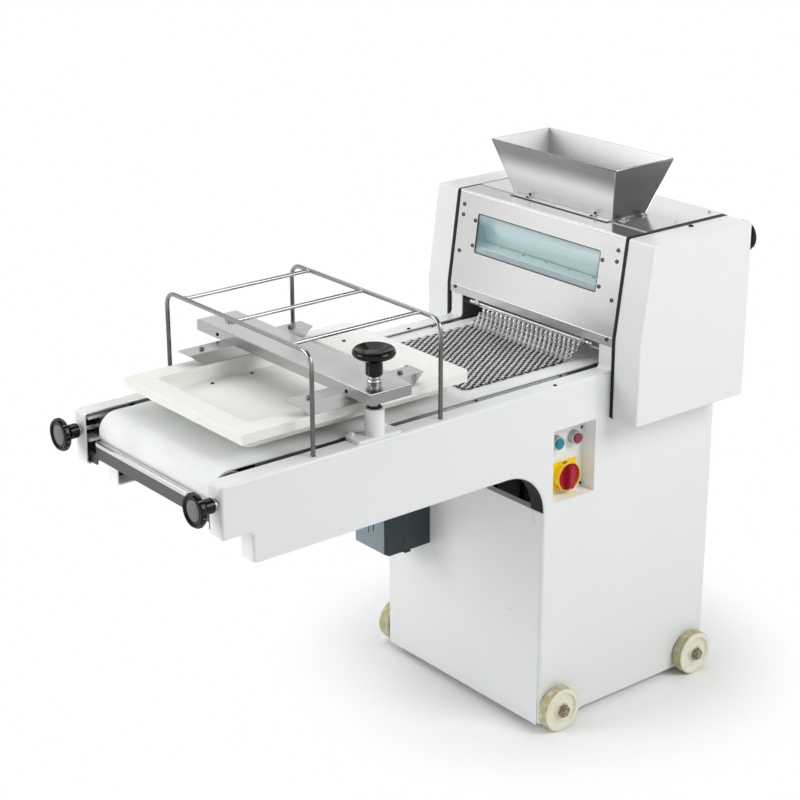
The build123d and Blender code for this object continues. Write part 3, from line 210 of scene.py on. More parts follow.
def placed(shape, spots):
    """One bmesh with a copy of the shape at each (place, facing), its z turned to the facing."""
    stamp = bpy.data.meshes.new("stamp")
    shape.to_mesh(stamp)
    shape.free()
    gathered = bmesh.new()
    for place, facing in spots:
        first = len(gathered.verts)
        gathered.from_mesh(stamp)
        gathered.verts.ensure_lookup_table()
        turn = Vector((0, 0, 1)).rotation_difference(Vector(facing)).to_matrix().to_4x4()
        bmesh.ops.transform(gathered, matrix=Matrix.Translation(place) @ turn, verts=gathered.verts[first:])
    bpy.data.meshes.remove(stamp)
    return gathered


def settle(name, shape, material, body):
    """Puts a finished bmesh or mesh in the scene on the body that carries it."""
    mesh = shape
    if isinstance(shape, bmesh.types.BMesh):
        mesh = bpy.data.meshes.new(name)
        shape.to_mesh(mesh)
        shape.free()
    mesh.materials.clear()
    mesh.materials.append(material)
    mesh.shade_smooth()
    mesh.set_sharp_from_angle(angle=radians(40))
    made = bpy.data.objects.new(name, mesh)
    bpy.context.collection.objects.link(made)
    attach(made, body)
    return made


def metal(name, dark, light, rough, scale=260.0):
    """Plain metal with a little uneven colour and gloss."""
    made, shader, spot = finish(name, Metallic=1.0)
    mottle = spot.noise(scale, 3.0)
    feed(shader, Base_Color=mottle.rise(0.3, 0.7).tint(dark, light), Roughness=mottle * 0.16 + (rough - 0.08))
    return made


up, right, front, back = (0, 0, 1), (1, 0, 0), (0, -1, 0), (0, 1, 0)
cabinet_rear, arm_top, strip_top = 650.5, 787, 784.5
zinc = metal("zinc_plate", (0.4, 0.41, 0.42), (0.56, 0.57, 0.58), 0.3)
black_oxide = metal("black_oxide", (0.018, 0.018, 0.019), (0.045, 0.045, 0.047), 0.38)
rear_screws = [(mm(x, cabinet_rear, z), back) for x in (-232, 232) for z in (45, 250, 480, 700, 900, 1040)]
settle("rear_panel_screws", placed(cross_screw(0.0042), rear_screws), zinc, "frame")
bed_screws = [(mm(x, 178, arm_top), up) for x in (-226, 248)]
settle("arm_top_screws", placed(cross_screw(0.004), bed_screws), black_oxide, "frame")
strip_screws = [(mm(side * 207, y, strip_top), up) for side in (-1, 1) for y in (1, 232)]
settle("bed_strip_screws", placed(cross_screw(0.0034), strip_screws), black_oxide, "frame")


# ---- Base plate and cross tubes ----
# Mild steel floor of the cabinet and three square tubes that tie the arms under the belt bed.
# Brushed over with grey machine enamel, so streaks and small runs show.
grey_enamel, shader, spot = finish("grey_enamel", Roughness=0.5)
strokes = spot.stretched(6, 60, 60).noise(6.0, 3.0)
feed(shader, Base_Color=strokes.tint((0.13, 0.14, 0.145), (0.2, 0.21, 0.215)), Normal=strokes.relief(0.0001))
paint(grey_enamel, "base_plate", "cross_tubes")


# ---- Wheels and axle bolts ----
# Cast nylon wheels, cream on the faces, with a tread browned and scuffed by the floor and rust washed
# out round the hub, on plain steel bolts that have begun to rust.
nylon, shader, spot = finish("nylon")
wheel_middle, wheel_apart, wheel_height = 0.39455, 0.20745, 0.05
across = abs(spot.part(1) - wheel_middle) - wheel_apart
radius = spot.node("ShaderNodeCombineXYZ", {0: across, 1: spot.part(2) - wheel_height}).length()
stain = spot.noise(26.0, 4.0).rise(0.45, 0.8)
tread = radius.rise(0.0478, 0.0492) * (spot.noise(70.0, 4.0).rise(0.25, 0.6) * 0.6 + 0.4)
hub = radius.rise(0.021, 0.012) * spot.noise(110.0, 3.0).rise(0.3, 0.65)
tone = (stain * 0.5).tint((0.78, 0.765, 0.62), (0.62, 0.58, 0.4))
tone = (hub * 0.85).over((tread * 0.85).over(tone, (0.37, 0.315, 0.115)), (0.3, 0.16, 0.07))
feed(shader, Base_Color=tone, Roughness=stain * 0.2 + 0.4, Normal=spot.noise(240.0).relief(0.00008))
paint(nylon, "wheel_front_left", "wheel_front_right", "wheel_rear_left", "wheel_rear_right")

rusty, shader, spot = finish("rusty_steel")
rust = spot.noise(320.0, 4.0).rise(0.42, 0.62)
feed(shader, Base_Color=rust.tint((0.44, 0.4, 0.31), (0.13, 0.075, 0.04)), Metallic=1 - rust,
     Roughness=rust * 0.4 + 0.35, Normal=rust.relief(0.0002))
paint(rusty, "axle_bolts")


# ---- Motor, pulleys, gears, bearings ----
# Grey iron castings, sand cast and painted, and bright cut steel on the shafts and teeth, keyed and
# bolted in place. The drive belt and the cable gland are black rubber.
cast_iron, shader, spot = finish("cast_iron", Metallic=0.0, Roughness=0.6)
grain = spot.noise(260.0, 3.0)
feed(shader, Base_Color=grain.tint((0.09, 0.1, 0.105), (0.15, 0.16, 0.165)), Normal=grain.relief(0.0003))
paint(cast_iron, "motor", "shaft_bearings", "drive_pulley", "motor_pulley")

cut_steel, shader, spot = finish("cut_steel", Metallic=1.0)
lathe = spot.stretched(900, 40, 40).noise(1.0, 2.0)
feed(shader, Base_Color=lathe.tint((0.36, 0.37, 0.38), (0.52, 0.53, 0.54)), Roughness=lathe * 0.15 + 0.25)
paint(cut_steel, "upper_roller_gear", "rear_roller_gear", "belt_drive_gear", "lower_roller_gears",
      "gap_carriage", "tension_blocks", "tail_roller", "belt_drive_roller", "guide_rod", "press_screw")

drive_rubber, shader, spot = finish("drive_rubber", Roughness=0.6)
feed(shader, Base_Color=spot.noise(60.0).tint((0.012, 0.012, 0.013), (0.028, 0.028, 0.03)))
paint(drive_rubber, "drive_belt", "cable_gland")


# ---- Belt bed and tie bar ----
# Stainless sheet, dull from rolling, under the belt and showing as a strip beside it, with painted shade
# along the belt and at both ends. The tie bar is a bright rolled edge over a plate in painted shade.
def brushed(name, along, light, dark, rough, hair_depth=0.000008):
    """Stainless brushed along one axis: the material, its shader, the place on it and the tone."""
    sheet, shader, spot = finish(name, Metallic=1.0)
    fine = [1100.0] * 3
    fine[along] = 7.0
    hair = spot.stretched(*fine).noise(1.0, 2.0)
    mixed = hair * 0.6 + spot.noise(5.0, 2.0) * 0.4
    tone = mixed.rise(0.3, 0.7).tint((dark, dark, dark * 1.01), (light, light, light * 1.01))
    feed(shader, Base_Color=tone, Roughness=mixed * 0.16 + (rough - 0.08), Normal=hair.relief(hair_depth))
    return sheet, shader, spot, tone


bed_steel, shader, spot, tone = brushed("stainless_bed", 1, 0.58, 0.48, 0.22)
# Painted shade: near black where the strip meets the belt, and darkening towards both ends of the bed.
end_painted_shade = spot.part(1).rise(-0.02, -0.3) + spot.part(1).rise(0.236, 0.256)
bed_painted_shade = end_painted_shade + abs(spot.part(0)).rise(0.2042, 0.2026)
feed(shader, Base_Color=bed_painted_shade.over(tone, (0.035, 0.036, 0.037)))
paint(bed_steel, "belt_bed")
tie_steel, shader, spot, tone = brushed("tie_bar_steel", 0, 0.76, 0.68, 0.22)
# Painted shade: the plate below z = 0.7215 m, under the rolled edge, is dark grey and less metallic.
plate = spot.part(2).rise(0.7225, 0.7205)
feed(shader, Base_Color=plate.over(tone, (0.075, 0.078, 0.08)), Roughness=plate * 0.2 + 0.22,
     Metallic=1 - plate * 0.8)
paint(tie_steel, "front_tie_bar")


# ---- Conveyor belt ----
# White food belt: a woven carrier with a matt face coating, joined endless and run over two rollers.
# Its face is a little worn along the run.
belt_cloth, shader, spot = finish("belt_cloth")
weave = (spot.stretched(900, 60, 60).noise(1.0, 1.0) + spot.stretched(60, 900, 900).noise(1.0, 1.0)) * 0.5
worn = spot.stretched(1, 0.25, 1).noise(14.0, 3.0)
feed(shader, Base_Color=worn.rise(0.35, 0.75).tint((0.8, 0.82, 0.81), (0.74, 0.76, 0.745)),
     Roughness=worn * 0.2 + 0.45, Normal=weave.relief(0.00012))
paint(belt_cloth, "conveyor_belt")


# ---- Sheeting rollers and scrapers ----
# Turned and chromed rollers that flatten the dough, with stainless blades that clean them. Small
# screws clamp the upper blade to its shelf behind the window.
chrome, shader, spot = finish("roller_chrome", Metallic=0.6)
rings = spot.stretched(700, 8, 8).noise(1.0)
feed(shader, Base_Color=rings.tint((0.74, 0.75, 0.76), (0.84, 0.85, 0.86)), Roughness=rings * 0.12 + 0.16)
paint(chrome, "upper_roller", "rear_roller", "lower_roller")
blades, shader = brushed("stainless_blades", 0, 0.98, 0.95, 0.28)[:2]
shader.inputs["Metallic"].default_value = 0.1
paint(blades, "scraper_bars")
shelf_top = 953.5
blade_screws = [(mm(x, 378, shelf_top), up) for x in (-146, -73, 0, 73, 146)]
settle("blade_screws", placed(cross_screw(0.0026), blade_screws), black_oxide, "frame")


# ---- Front cover, window and lid ----
# Polished stainless sheet held by pan screws: the cover folded with a lip below and a lap on top, with
# a painted highlight along both folds and painted shade on lip, lap and left end; the lid a flat tray,
# lighter at the rear as painted reflection. A sea-green pane, with paler bands of painted light along
# its upper and lower edges, sits behind the opening in a thin rubber seal.
cover_steel, shader, spot, tone = brushed("stainless_cover", 0, 0.72, 0.68, 0.2)
# Painted shade: the lip below the lower fold, the upward-facing lap and the left end of the cover are darker.
lip = spot.part(2).rise(0.8585, 0.8565) * 0.27
lap = spot.facing(2).rise(0.5, 0.9)
far_end = spot.part(0).rise(0.02, -0.25) * 0.6
tone = lip.over(far_end.over(tone, (0.56, 0.56, 0.565)), (0.3, 0.3, 0.305))
feed(shader, Base_Color=lap.over(tone, (0.46, 0.46, 0.465)))
paint(cover_steel, "front_cover")
lid_steel, shader, spot, tone = brushed("stainless_lid", 0, 0.65, 0.6, 0.2)
# Painted reflection: the lid is lighter behind y = 0.5 m.
feed(shader, Base_Color=spot.part(1).rise(0.5, 0.6).over(tone, (0.8, 0.8, 0.805)))
paint(lid_steel, "top_lid")

pane, shader, spot = finish("pane", Roughness=0.05, IOR=1.5)
tone = spot.noise(12.0).tint((0.46, 0.84, 0.88), (0.54, 0.9, 0.93))
# Painted light: paler, less clear bands along the lower and upper edges of the pane.
pane_edge_light = spot.part(2).rise(0.9575, 0.9495) + spot.part(2).rise(1.0, 1.024)
feed(shader, Base_Color=(pane_edge_light * 0.8).over(tone, (0.78, 0.86, 0.87)), Alpha=pane_edge_light * 0.22 + 0.19)
pane.surface_render_method = "BLENDED"
paint(pane, "window_pane")

head_bend, head_front = 0.858, 0.327
slant_back, slant_rise = 30, 211
slant = atan2(slant_back, slant_rise)
slant_facing = (0, -cos(slant), sin(slant))


def on_cover(x, z, proud=0.0):
    """A place on the slanted face of the cover, proud metres off it."""
    return Vector((x, head_front + (z - head_bend) * slant_back / slant_rise - proud, z))


def wires(name, runs, radius, material, body, closed=False, rounding=1, swell=(1.0,)):
    """Round wires along lists of places, made into one mesh, with a thickness that may swell in turn."""
    bend = bpy.data.curves.new(name, "CURVE")
    bend.dimensions, bend.use_fill_caps = "3D", True
    bend.bevel_depth, bend.bevel_resolution = radius, rounding
    for places in runs:
        line = bend.splines.new("POLY")
        line.points.add(len(places) - 1)
        for k, (point, place) in enumerate(zip(line.points, places)):
            point.co = (*place, 1)
            point.radius = swell[k % len(swell)]
        line.use_cyclic_u = closed
    drawn_wire = bpy.data.objects.new(name + "_line", bend)
    mesh = bpy.data.meshes.new_from_object(drawn_wire)
    bpy.data.objects.remove(drawn_wire)
    bpy.data.curves.remove(bend)
    mesh.name = name
    return settle(name, mesh, material, body)


def bent_frame(half, low, high, bend):
    """Places (across, along) round a rectangle with bent corners."""
    corners = ((half - bend, high - bend, 0), (bend - half, high - bend, 90),
               (bend - half, low + bend, 180), (half - bend, low + bend, 270))
    return [(x + bend * cos(radians(start + step)), y + bend * sin(radians(start + step)))
            for x, y, start in corners for step in (0, 30, 60, 90)]


edging, shader, spot = finish("edging_rubber", Roughness=0.45, Specular_IOR_Level=0.2)
feed(shader, Base_Color=spot.noise(80.0).tint((0.006, 0.006, 0.007), (0.014, 0.014, 0.015)))
seal = [on_cover(x, z, -0.0006) for x, z in bent_frame(0.1922, 0.9412, 1.0278, 0.004)]
wires("window_seal", [seal], 0.0011, edging, "frame", closed=True)

# Painted highlight: the beads along both folds are a brighter metal than the cover.
fold_highlight_steel = metal("fold_highlight_steel", (0.86, 0.86, 0.865), (0.95, 0.95, 0.955), 0.16)
fold_half = 0.2565
folds = (("cover_lower_fold", 0.3276, head_bend, 0.0012), ("cover_upper_fold", 0.3598, 1.0675, 0.0035))
for name, y, z, radius in folds:
    run = [(-fold_half, y, z), (fold_half, y, z)]
    wires(name, [run], radius, fold_highlight_steel, "frame", rounding=6)

cover_screws = [(on_cover(side * x, z), slant_facing) for side in (-1, 1) for x, z in (
    (0.242, 1.04), (0.242, 1.0165), (0.242, 0.9355), (0.2005, 1.011), (0.2005, 0.955))]
cover_screws += [(mm(x, 327, 853), front) for x in (-242.5, 242.5)]
steel_screw = metal("screw_steel", (0.06, 0.06, 0.065), (0.13, 0.13, 0.135), 0.24)
settle("cover_screws", placed(cross_screw(0.0046), cover_screws), steel_screw, "frame")
lid_top = 1072
lid_screws = [(mm(x, 513, lid_top), up) for x in (-249, 249)]
lid_screws += [(mm(x, 630, lid_top), up) for x in (-235, 0, 235)]
settle("lid_screws", placed(cross_screw(0.0042), lid_screws), zinc, "frame")


# ---- Feed hopper ----
# Four sloping walls of thin stainless welded at the corners, with a wired hem round the top and a foot
# in front. Two pairs of small screws hold wall and foot, and hex bolts hold the tabs at the sides.
hopper_steel, shader, spot, tone = brushed("stainless_hopper", 0, 0.3, 0.26, 0.38)
# Painted light and shade: the lower front wall much lighter, the inner faces lighter and the side walls
# darker.
low_wall = spot.part(2).rise(1.172, 1.112) * spot.facing(1).rise(-0.5, -0.8)
inside = spot.facing(2).rise(0.1, 0.25)
side_wall = abs(spot.facing(0)).rise(0.5, 0.8) * (1 - inside)
tone = inside.over(low_wall.over(tone, (0.97, 0.97, 0.975)), (0.52, 0.52, 0.525))
tone = (side_wall * 0.9).over(tone, (0.2, 0.2, 0.202))
feed(shader, Base_Color=spot.part(2).rise(1.0745, 1.0738).over(tone, (0.42, 0.42, 0.425)))
paint(hopper_steel, "hopper")

hem = [(x, y, 1.1907) for x, y in bent_frame(0.192, 0.3858, 0.5581, 0.005)]
hem_steel = metal("hem_steel", (0.24, 0.24, 0.245), (0.34, 0.34, 0.345), 0.25)
wires("hopper_hem", [hem], 0.0018, hem_steel, "frame", closed=True)
welds = [[(side * 0.152, bottom, 1.0738), (side * 0.1912, top, 1.19)]
         for side in (-1, 1) for bottom, top in ((0.4232, 0.3866), (0.5208, 0.5573))]
weld_steel = metal("weld_steel", (0.42, 0.42, 0.43), (0.62, 0.62, 0.63), 0.3, 500.0)
wires("hopper_corner_welds", welds, 0.0011, weld_steel, "frame")
wall_top_y, wall_foot_y, wall_rise, foot_top = 386.2, 423, 120.5, 1073.5
wall_tilt = atan2(wall_top_y - wall_foot_y, wall_rise)
wall_facing = (0, -cos(wall_tilt), sin(wall_tilt))
hopper_screws = [(mm(x, 411, foot_top), up) for x in (-100.5, 100.5)]
hopper_screws += [(mm(x, 421.0, 1078.5), wall_facing) for x in (-102, 102)]
settle("hopper_screws", placed(cross_screw(0.0034), hopper_screws), black_oxide, "frame")


def hex_head(wide, height):
    """A hexagon head with its upper edges rounded, standing on the plane z = 0."""
    bm = bmesh.new()
    corner = wide / 3**0.5
    bmesh.ops.create_cone(bm, cap_ends=True, segments=6, radius1=corner, radius2=corner, depth=height)
    bmesh.ops.translate(bm, verts=bm.verts, vec=(0, 0, height / 2))
    top = [edge for edge in bm.edges if all(vert.co.z > 0.9 * height for vert in edge.verts)]
    bmesh.ops.bevel(bm, geom=top, offset=0.09 * wide, offset_type="OFFSET", segments=2, profile=0.5,
                    affect="EDGES", material=-1)
    return bm


tab_bolts = [(mm(x, y, foot_top), up) for x in (-163, 163) for y in (442.6, 501.4)]
settle("hopper_tab_bolts", placed(hex_head(0.008, 0.004), tab_bolts), zinc, "frame")


# ---- Side housing edging ----
# A black rubber section pushed on where the white housings meet the head, and a black plug in the
# top of each housing.
paint(edging, "edge_trims")


def turned(outline, steps=24, closed=False):
    """A solid of revolution about z through (radius, height) points."""
    bm = bmesh.new()
    dots = [bm.verts.new((radius, 0, height)) for radius, height in outline]
    pairs = list(zip(dots, dots[1:])) + ([(dots[-1], dots[0])] if closed else [])
    lines = [bm.edges.new(pair) for pair in pairs]
    bmesh.ops.spin(bm, geom=dots + lines, cent=(0, 0, 0), axis=up, angle=2 * pi, steps=steps, use_merge=True)
    bmesh.ops.remove_doubles(bm, verts=bm.verts, dist=1e-7)
    bmesh.ops.recalc_face_normals(bm, faces=bm.faces)
    return bm


plug = turned([(0, 0), (0.0055, 0), (0.0055, 0.0012), (0.0045, 0.0028), (0.002, 0.0036), (0, 0.0037)])
plug_spots = [(mm(x, 525, 1069), up) for x in (-280, 280)]
settle("housing_plugs", placed(plug, plug_spots), edging, "frame")


# ---- Wire mat ----
# Curling mat of spiral wire: rows of flattened coils hooked into each other, two wires to a coil, lying
# on the belt. Each turn of the first coil hangs by a doubled wire set in the underside of the rod. The
# crowns carry painted light, most where it hangs, and the valleys painted shade.
rod_y, rod_z = 0.3355, 0.829
mat_half, mat_front, mat_turns = 0.159, 0.0035, 22
turn = 2 * mat_half / mat_turns
row_pitch = 0.0113
wire = 0.0011
rise_half = 0.0017
belt_top, belt_gap = 0.787, 0.0002
mat_mid = belt_top + rise_half + wire + belt_gap
hang_top = (rod_y - 0.0005, rod_z - 0.013)
hang_turn = (rod_y - 0.035, mat_mid)
hang_foot = (rod_y - 0.047, mat_mid)


def hung(share):
    """A point and the upward normal on the part of the mat that hangs from the rod."""
    a, b, c = (1 - share) ** 2, 2 * share * (1 - share), share**2
    spot = [a * hang_top[k] + b * hang_turn[k] + c * hang_foot[k] for k in (0, 1)]
    run = [(1 - share) * (hang_turn[k] - hang_top[k]) + share * (hang_foot[k] - hang_turn[k]) for k in (0, 1)]
    size = (run[0] ** 2 + run[1] ** 2) ** 0.5
    return spot, (run[1] / size, -run[0] / size)


hang_count = 60
hang_steps = [hung(k / hang_count) for k in range(hang_count + 1)]
hang_lengths = [0.0]
for (a, _), (b, _) in zip(hang_steps, hang_steps[1:]):
    hang_lengths.append(hang_lengths[-1] + ((a[0] - b[0]) ** 2 + (a[1] - b[1]) ** 2) ** 0.5)


def on_mat(x, run, lift):
    """A place on the mat: run metres from its upper end, lifted off its middle."""
    if run < hang_lengths[-1]:
        k = min(range(hang_count), key=lambda i: abs(hang_lengths[i] - max(run, 0)))
        (y, z), (ny, nz) = hang_steps[k]
        part = max(run, 0) - hang_lengths[k]
        return (x, y - nz * part + ny * lift, z + ny * part + nz * lift)
    return (x, hang_foot[0] - (run - hang_lengths[-1]), mat_mid + lift)


def over_mat(place):
    """How far a place is above the middle of the mat."""
    if place.y < hang_foot[0]:
        return place.z - mat_mid
    gaps = [(y - place.y) ** 2 + (z - place.z) ** 2 for (y, z), _ in hang_steps]
    (y, z), (ny, nz) = hang_steps[gaps.index(min(gaps))]
    return (place.y - y) * ny + (place.z - z) * nz


mat_steel, shader, spot = finish("mat_steel", Metallic=0.4)
crown = spot.node("ShaderNodeAttribute", {}, output="Fac", attribute_name="crown").rise(0.0005, 0.0021)
drawn = spot.noise(150.0, 3.0)
# Painted shade in the valleys and painted light on the crowns, by height over the middle of the mat.
feed(shader, Base_Color=crown.tint((0.03, 0.027, 0.026), (0.95, 0.93, 0.915)), Roughness=drawn * 0.14 + 0.28)

steps_per_turn = 10
coil_shape = []
for k in range(steps_per_turn):
    swing, bob = cos(2 * pi * k / steps_per_turn), sin(2 * pi * k / steps_per_turn)
    coil_shape.append((-abs(swing) ** 0.75 * (1 if swing > 0 else -1), bob))
mat_rows = int((hang_lengths[-1] + hang_foot[0] - mat_front) / row_pitch)
hooked, second_start = 0.0008, 0.25
coil_reach = row_pitch / 2 + hooked
hang_start, hang_shine, bead_shine = hang_foot[0] + 0.008, 0.0028, 0.0008
coils, painted_shine = [], []
for row in range(mat_rows):
    middle = (row + 0.5) * row_pitch
    sway = 0.0006 * sin(1.7 * row) + 0.0005 * sin(0.6 * row)
    for second in (0.0, second_start):
        start = -mat_half + turn * (0.5 * (row % 2) - 0.5 + second) + sway
        places = []
        for k in range(steps_per_turn * (mat_turns + 1) + 1):
            reach, lift = coil_shape[k % steps_per_turn]
            x = start + turn * k / steps_per_turn
            if -mat_half <= x <= mat_half:
                place = on_mat(x, middle + reach * coil_reach, lift * rise_half)
                hangs = place[1] > hang_start and second == 0
                # Painted light on the first wire of each coil where the mat hangs, and beads of painted
                # highlight from darkening every other point.
                painted_shine.append((place, hang_shine * hangs - bead_shine * (len(places) % 2)))
                places.append(place)
        coils.append(places)
mat = wires("wire_mat", coils, wire, mat_steel, "mat", swell=(1.16, 0.84))
nearest = KDTree(len(painted_shine))
for k, (place, _) in enumerate(painted_shine):
    nearest.insert(place, k)
nearest.balance()
crowns = mat.data.attributes.new("crown", "FLOAT", "POINT")
for vert, mark in zip(mat.data.vertices, crowns.data):
    mark.value = over_mat(vert.co) + painted_shine[nearest.find(vert.co)[1]][1]
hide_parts("chain_mat")

hook_top = rod_z - 0.0044
hooks = []
for k in range(mat_turns):
    x = -mat_half + turn * (k + 0.5)
    for side in (-1, 1):
        hooks.append([(x + side * 0.0008, rod_y, hook_top),
                      (x + side * 0.0016, rod_y - 0.0006, hang_top[1] + 0.003),
                      on_mat(x + side * 0.0022, 0.002, 0.0)])
rod_steel = metal("rod_steel", (0.72, 0.72, 0.73), (0.84, 0.84, 0.85), 0.12, 60.0)
paint(rod_steel, "mat_rod")
hook_steel = metal("hook_steel", (0.66, 0.65, 0.64), (0.82, 0.81, 0.8), 0.3)
wires("mat_hooks", hooks, 0.00105, hook_steel, "mat")

collar = turned([(0.0049, -0.004), (0.0068, -0.004), (0.0073, -0.0034),
                 (0.0073, 0.0034), (0.0068, 0.004), (0.0049, 0.004)], closed=True)
collar_spots = [(Vector((x, rod_y, rod_z)), right) for x in (-0.1815, 0.1815)]
settle("rod_collars", placed(collar, collar_spots), zinc, "frame")


# ---- Pressure board ----
# White polyethylene, milled from thick plate: a broad rim round a sunk tray, with tool marks across the
# tray and fine scratches. A land fills its rear, and screws in tray and land hold it to its brackets.
board, shader, spot = finish("board_plastic", Subsurface_Weight=0.1, Subsurface_Radius=(0.004, 0.003, 0.002))
marks = spot.stretched(14, 420, 14).noise(1.0, 2.0)
scuffs = spot.stretched(40, 400, 40).noise(1.0, 3.0).rise(0.62, 0.72)
tone = spot.noise(6.0, 3.0).rise(0.3, 0.7).tint((0.86, 0.865, 0.82), (0.82, 0.825, 0.77))
# Painted light: the floor of the sunk tray, below z = 0.838 m, is lighter than the rim.
tone = (spot.part(2).rise(0.838, 0.822) * 0.7).over(tone, (0.93, 0.93, 0.89))
feed(shader, Base_Color=(scuffs * 0.25).over(tone, (0.72, 0.72, 0.65)), Roughness=marks * 0.15 + 0.4,
     Normal=marks.relief(0.00005))
paint(board, "pressure_board")

tray_screws = [(mm(x, y, 815), up) for x in (-140, 140) for y in (-399, -303)]
settle("tray_screws", placed(cross_screw(0.004), tray_screws), steel_screw, "press")
land_front, land_rear, land_half, rim_top, tray_floor = -0.137, -0.0555, 0.158, 0.84905, 0.815
land = bmesh.new()
bmesh.ops.create_cube(land, size=1)
bmesh.ops.scale(land, verts=land.verts, vec=(2 * land_half, land_rear - land_front, rim_top - tray_floor))
bmesh.ops.translate(land, verts=land.verts, vec=(0, (land_rear + land_front) / 2, (rim_top + tray_floor) / 2))
near = 0.001
brow = [edge for edge in land.edges
        if all(vert.co.z > rim_top - near and vert.co.y < land_front + near for vert in edge.verts)]
bmesh.ops.bevel(land, geom=brow, offset=0.004, offset_type="OFFSET", segments=4, profile=0.5,
                affect="EDGES", material=-1)
settle("board_rear_land", land, board, "press")
land_screws = [(mm(x, -94.5, 849), up) for x in (-104, 104)]
settle("land_screws", placed(cross_screw(0.0046), land_screws), steel_screw, "press")


# ---- Brackets, beam and posts ----
# Two folded stainless brackets bolted on the board hang from a folded beam across the arms. White posts
# with hexagon bolts in their feet and a black bush on top carry the press screw and the guide rod.
paint(brushed("stainless_brackets", 1, 0.52, 0.45, 0.24)[0], "carrier_brackets")
beam_steel, shader, spot, tone = brushed("stainless_beam", 0, 0.59, 0.53, 0.24)
# Painted shade: the front face of the beam is darker, and the end faces darker still.
tone = spot.facing(1).rise(-0.5, -0.8).over(tone, (0.46, 0.46, 0.463))
feed(shader, Base_Color=abs(spot.facing(0)).rise(0.5, 0.8).over(tone, (0.3, 0.297, 0.302)))
paint(beam_steel, "press_beam")
paint(steel_screw, "bracket_bolts")
beam_front, post_y = -332.5, -283.5
beam_screws = [(mm(x, beam_front, 885), front) for x in (-217, 217)]
settle("beam_screws", placed(cross_screw(0.004), beam_screws), black_oxide, "press")
foot_bolts = [(mm(x, y, 794.5), up) for x in (-218, 218) for y in (-322.5, -244.5)]
settle("post_foot_bolts", placed(hex_head(0.011, 0.0052), foot_bolts), white_coat, "frame")
bush = turned([(0.0085, -0.001), (0.0145, -0.001), (0.0145, 0.0018), (0.0135, 0.003), (0.0085, 0.003)],
              closed=True)
bush_spots = [(mm(x, post_y, 848), up) for x in (-240, 240)]
settle("post_bushes", placed(bush, bush_spots), edging, "frame")


# ---- Guard ----
# Two hoops of bent bar with three straight bars welded across them, with painted light on top and
# painted shade on the legs that drop through the arm tops. A small bead of weld runs round each joint.
guard_top = 0.99
guard_steel, shader, spot = finish("guard_steel", Metallic=1.0)
rubbed = spot.noise(9.0, 3.0)
# Painted light on the top bars and painted shade on the legs, by height.
tone = spot.part(2).rise(guard_top - 0.05, guard_top - 0.006).tint((0.13, 0.13, 0.133), (0.33, 0.33, 0.335))
feed(shader, Base_Color=(rubbed * 0.3).over(tone, (0.2, 0.2, 0.203)), Roughness=rubbed * 0.1 + 0.13)
paint(guard_steel, "guard_frame")
bead = turned([(0.0036, 0), (0.0054, 0.0003), (0.0056, 0.0012), (0.0049, 0.0026), (0.0041, 0.0036)], 14)
bead_spots = [(Vector((x, y + side * 0.0035, guard_top)), (0, side, 0))
              for x in (-0.18, 0, 0.18) for y, side in ((-0.432, 1), (-0.1235, -1))]
settle("guard_weld_beads", placed(bead, bead_spots), weld_steel, "frame")


# ---- Hand knobs ----
# Black phenolic knobs, moulded with a polished skin and a grey cap let into the face of the tension
# knobs, screwed on bright spindles. A grooved steel collar stands between tension knob and arm.
def phenolic(name, bare_from=None, bare_to=None):
    knob, shader, spot = finish(name, Specular_IOR_Level=0.22)
    tone = spot.noise(90.0).tint((0.002, 0.002, 0.0025), (0.005, 0.005, 0.006))
    gloss = spot.noise(40.0) * 0.1 + 0.1
    if bare_from:
        bare_steel_or_painted_shade = spot.part(1).rise(bare_from, bare_to)
        tone = bare_steel_or_painted_shade.over(tone, (0.5, 0.5, 0.505))
        feed(shader, Metallic=bare_steel_or_painted_shade)
    feed(shader, Base_Color=tone, Roughness=gloss)
    return knob


paint(phenolic("phenolic_tension", -0.6563, -0.6561), "tension_knob_left", "tension_knob_right")
paint(phenolic("phenolic_gap", 0.6599, 0.6597), "gap_knob")
paint(phenolic("phenolic_press"), "press_knob")
cap_grey, shader, spot = finish("cap_grey", Roughness=0.35)
feed(shader, Base_Color=spot.noise(120.0).tint((0.1, 0.105, 0.11), (0.15, 0.155, 0.16)))
cap_outline = [(0, -0.0004), (0.0205, -0.0004), (0.0205, 0.0006), (0.0195, 0.0013),
               (0.008, 0.0018), (0, 0.0019)]
ring_outline = [(0.0112, -0.0027), (0.0118, -0.0027), (0.0123, -0.0022), (0.0123, -0.0012),
                (0.0117, -0.0009), (0.0123, -0.0006), (0.0123, 0.0006), (0.0117, 0.0009),
                (0.0123, 0.0012), (0.0123, 0.0022), (0.0118, 0.0027), (0.0112, 0.0027)]
cap_y, ring_y, knob_z = -697, -653, 748
for side, x in (("left", -240), ("right", 240)):
    cap = placed(turned(cap_outline, 40), [(mm(x, cap_y, knob_z), front)])
    settle("knob_cap_" + side, cap, cap_grey, "tension_knob_" + side)
    ring = placed(turned(ring_outline, 32, closed=True), [(mm(x, ring_y, knob_z), front)])
    settle("knob_collar_" + side, ring, zinc, "tension_knob_" + side)


# ---- Electrical box ----
# Blue-grey moulded box for the contactor, bolted to the cabinet front under the belt, with painted shade
# on its side walls and a black latch below.
box_grey, shader, spot = finish("box_grey")
pebble = spot.noise(520.0, 2.0)
tone = spot.noise(9.0).tint((0.175, 0.235, 0.257), (0.21, 0.273, 0.296))
# Painted shade: the side walls facing along x are near black.
side_wall = abs(spot.facing(0)).rise(0.5, 0.8)
latch = spot.part(2).rise(0.3197, 0.3193)
feed(shader, Base_Color=latch.over(side_wall.over(tone, (0.022, 0.037, 0.041)), (0.012, 0.012, 0.013)),
     Roughness=pebble * 0.2 + 0.35, Normal=pebble.relief(0.0001))
paint(box_grey, "electrical_box")


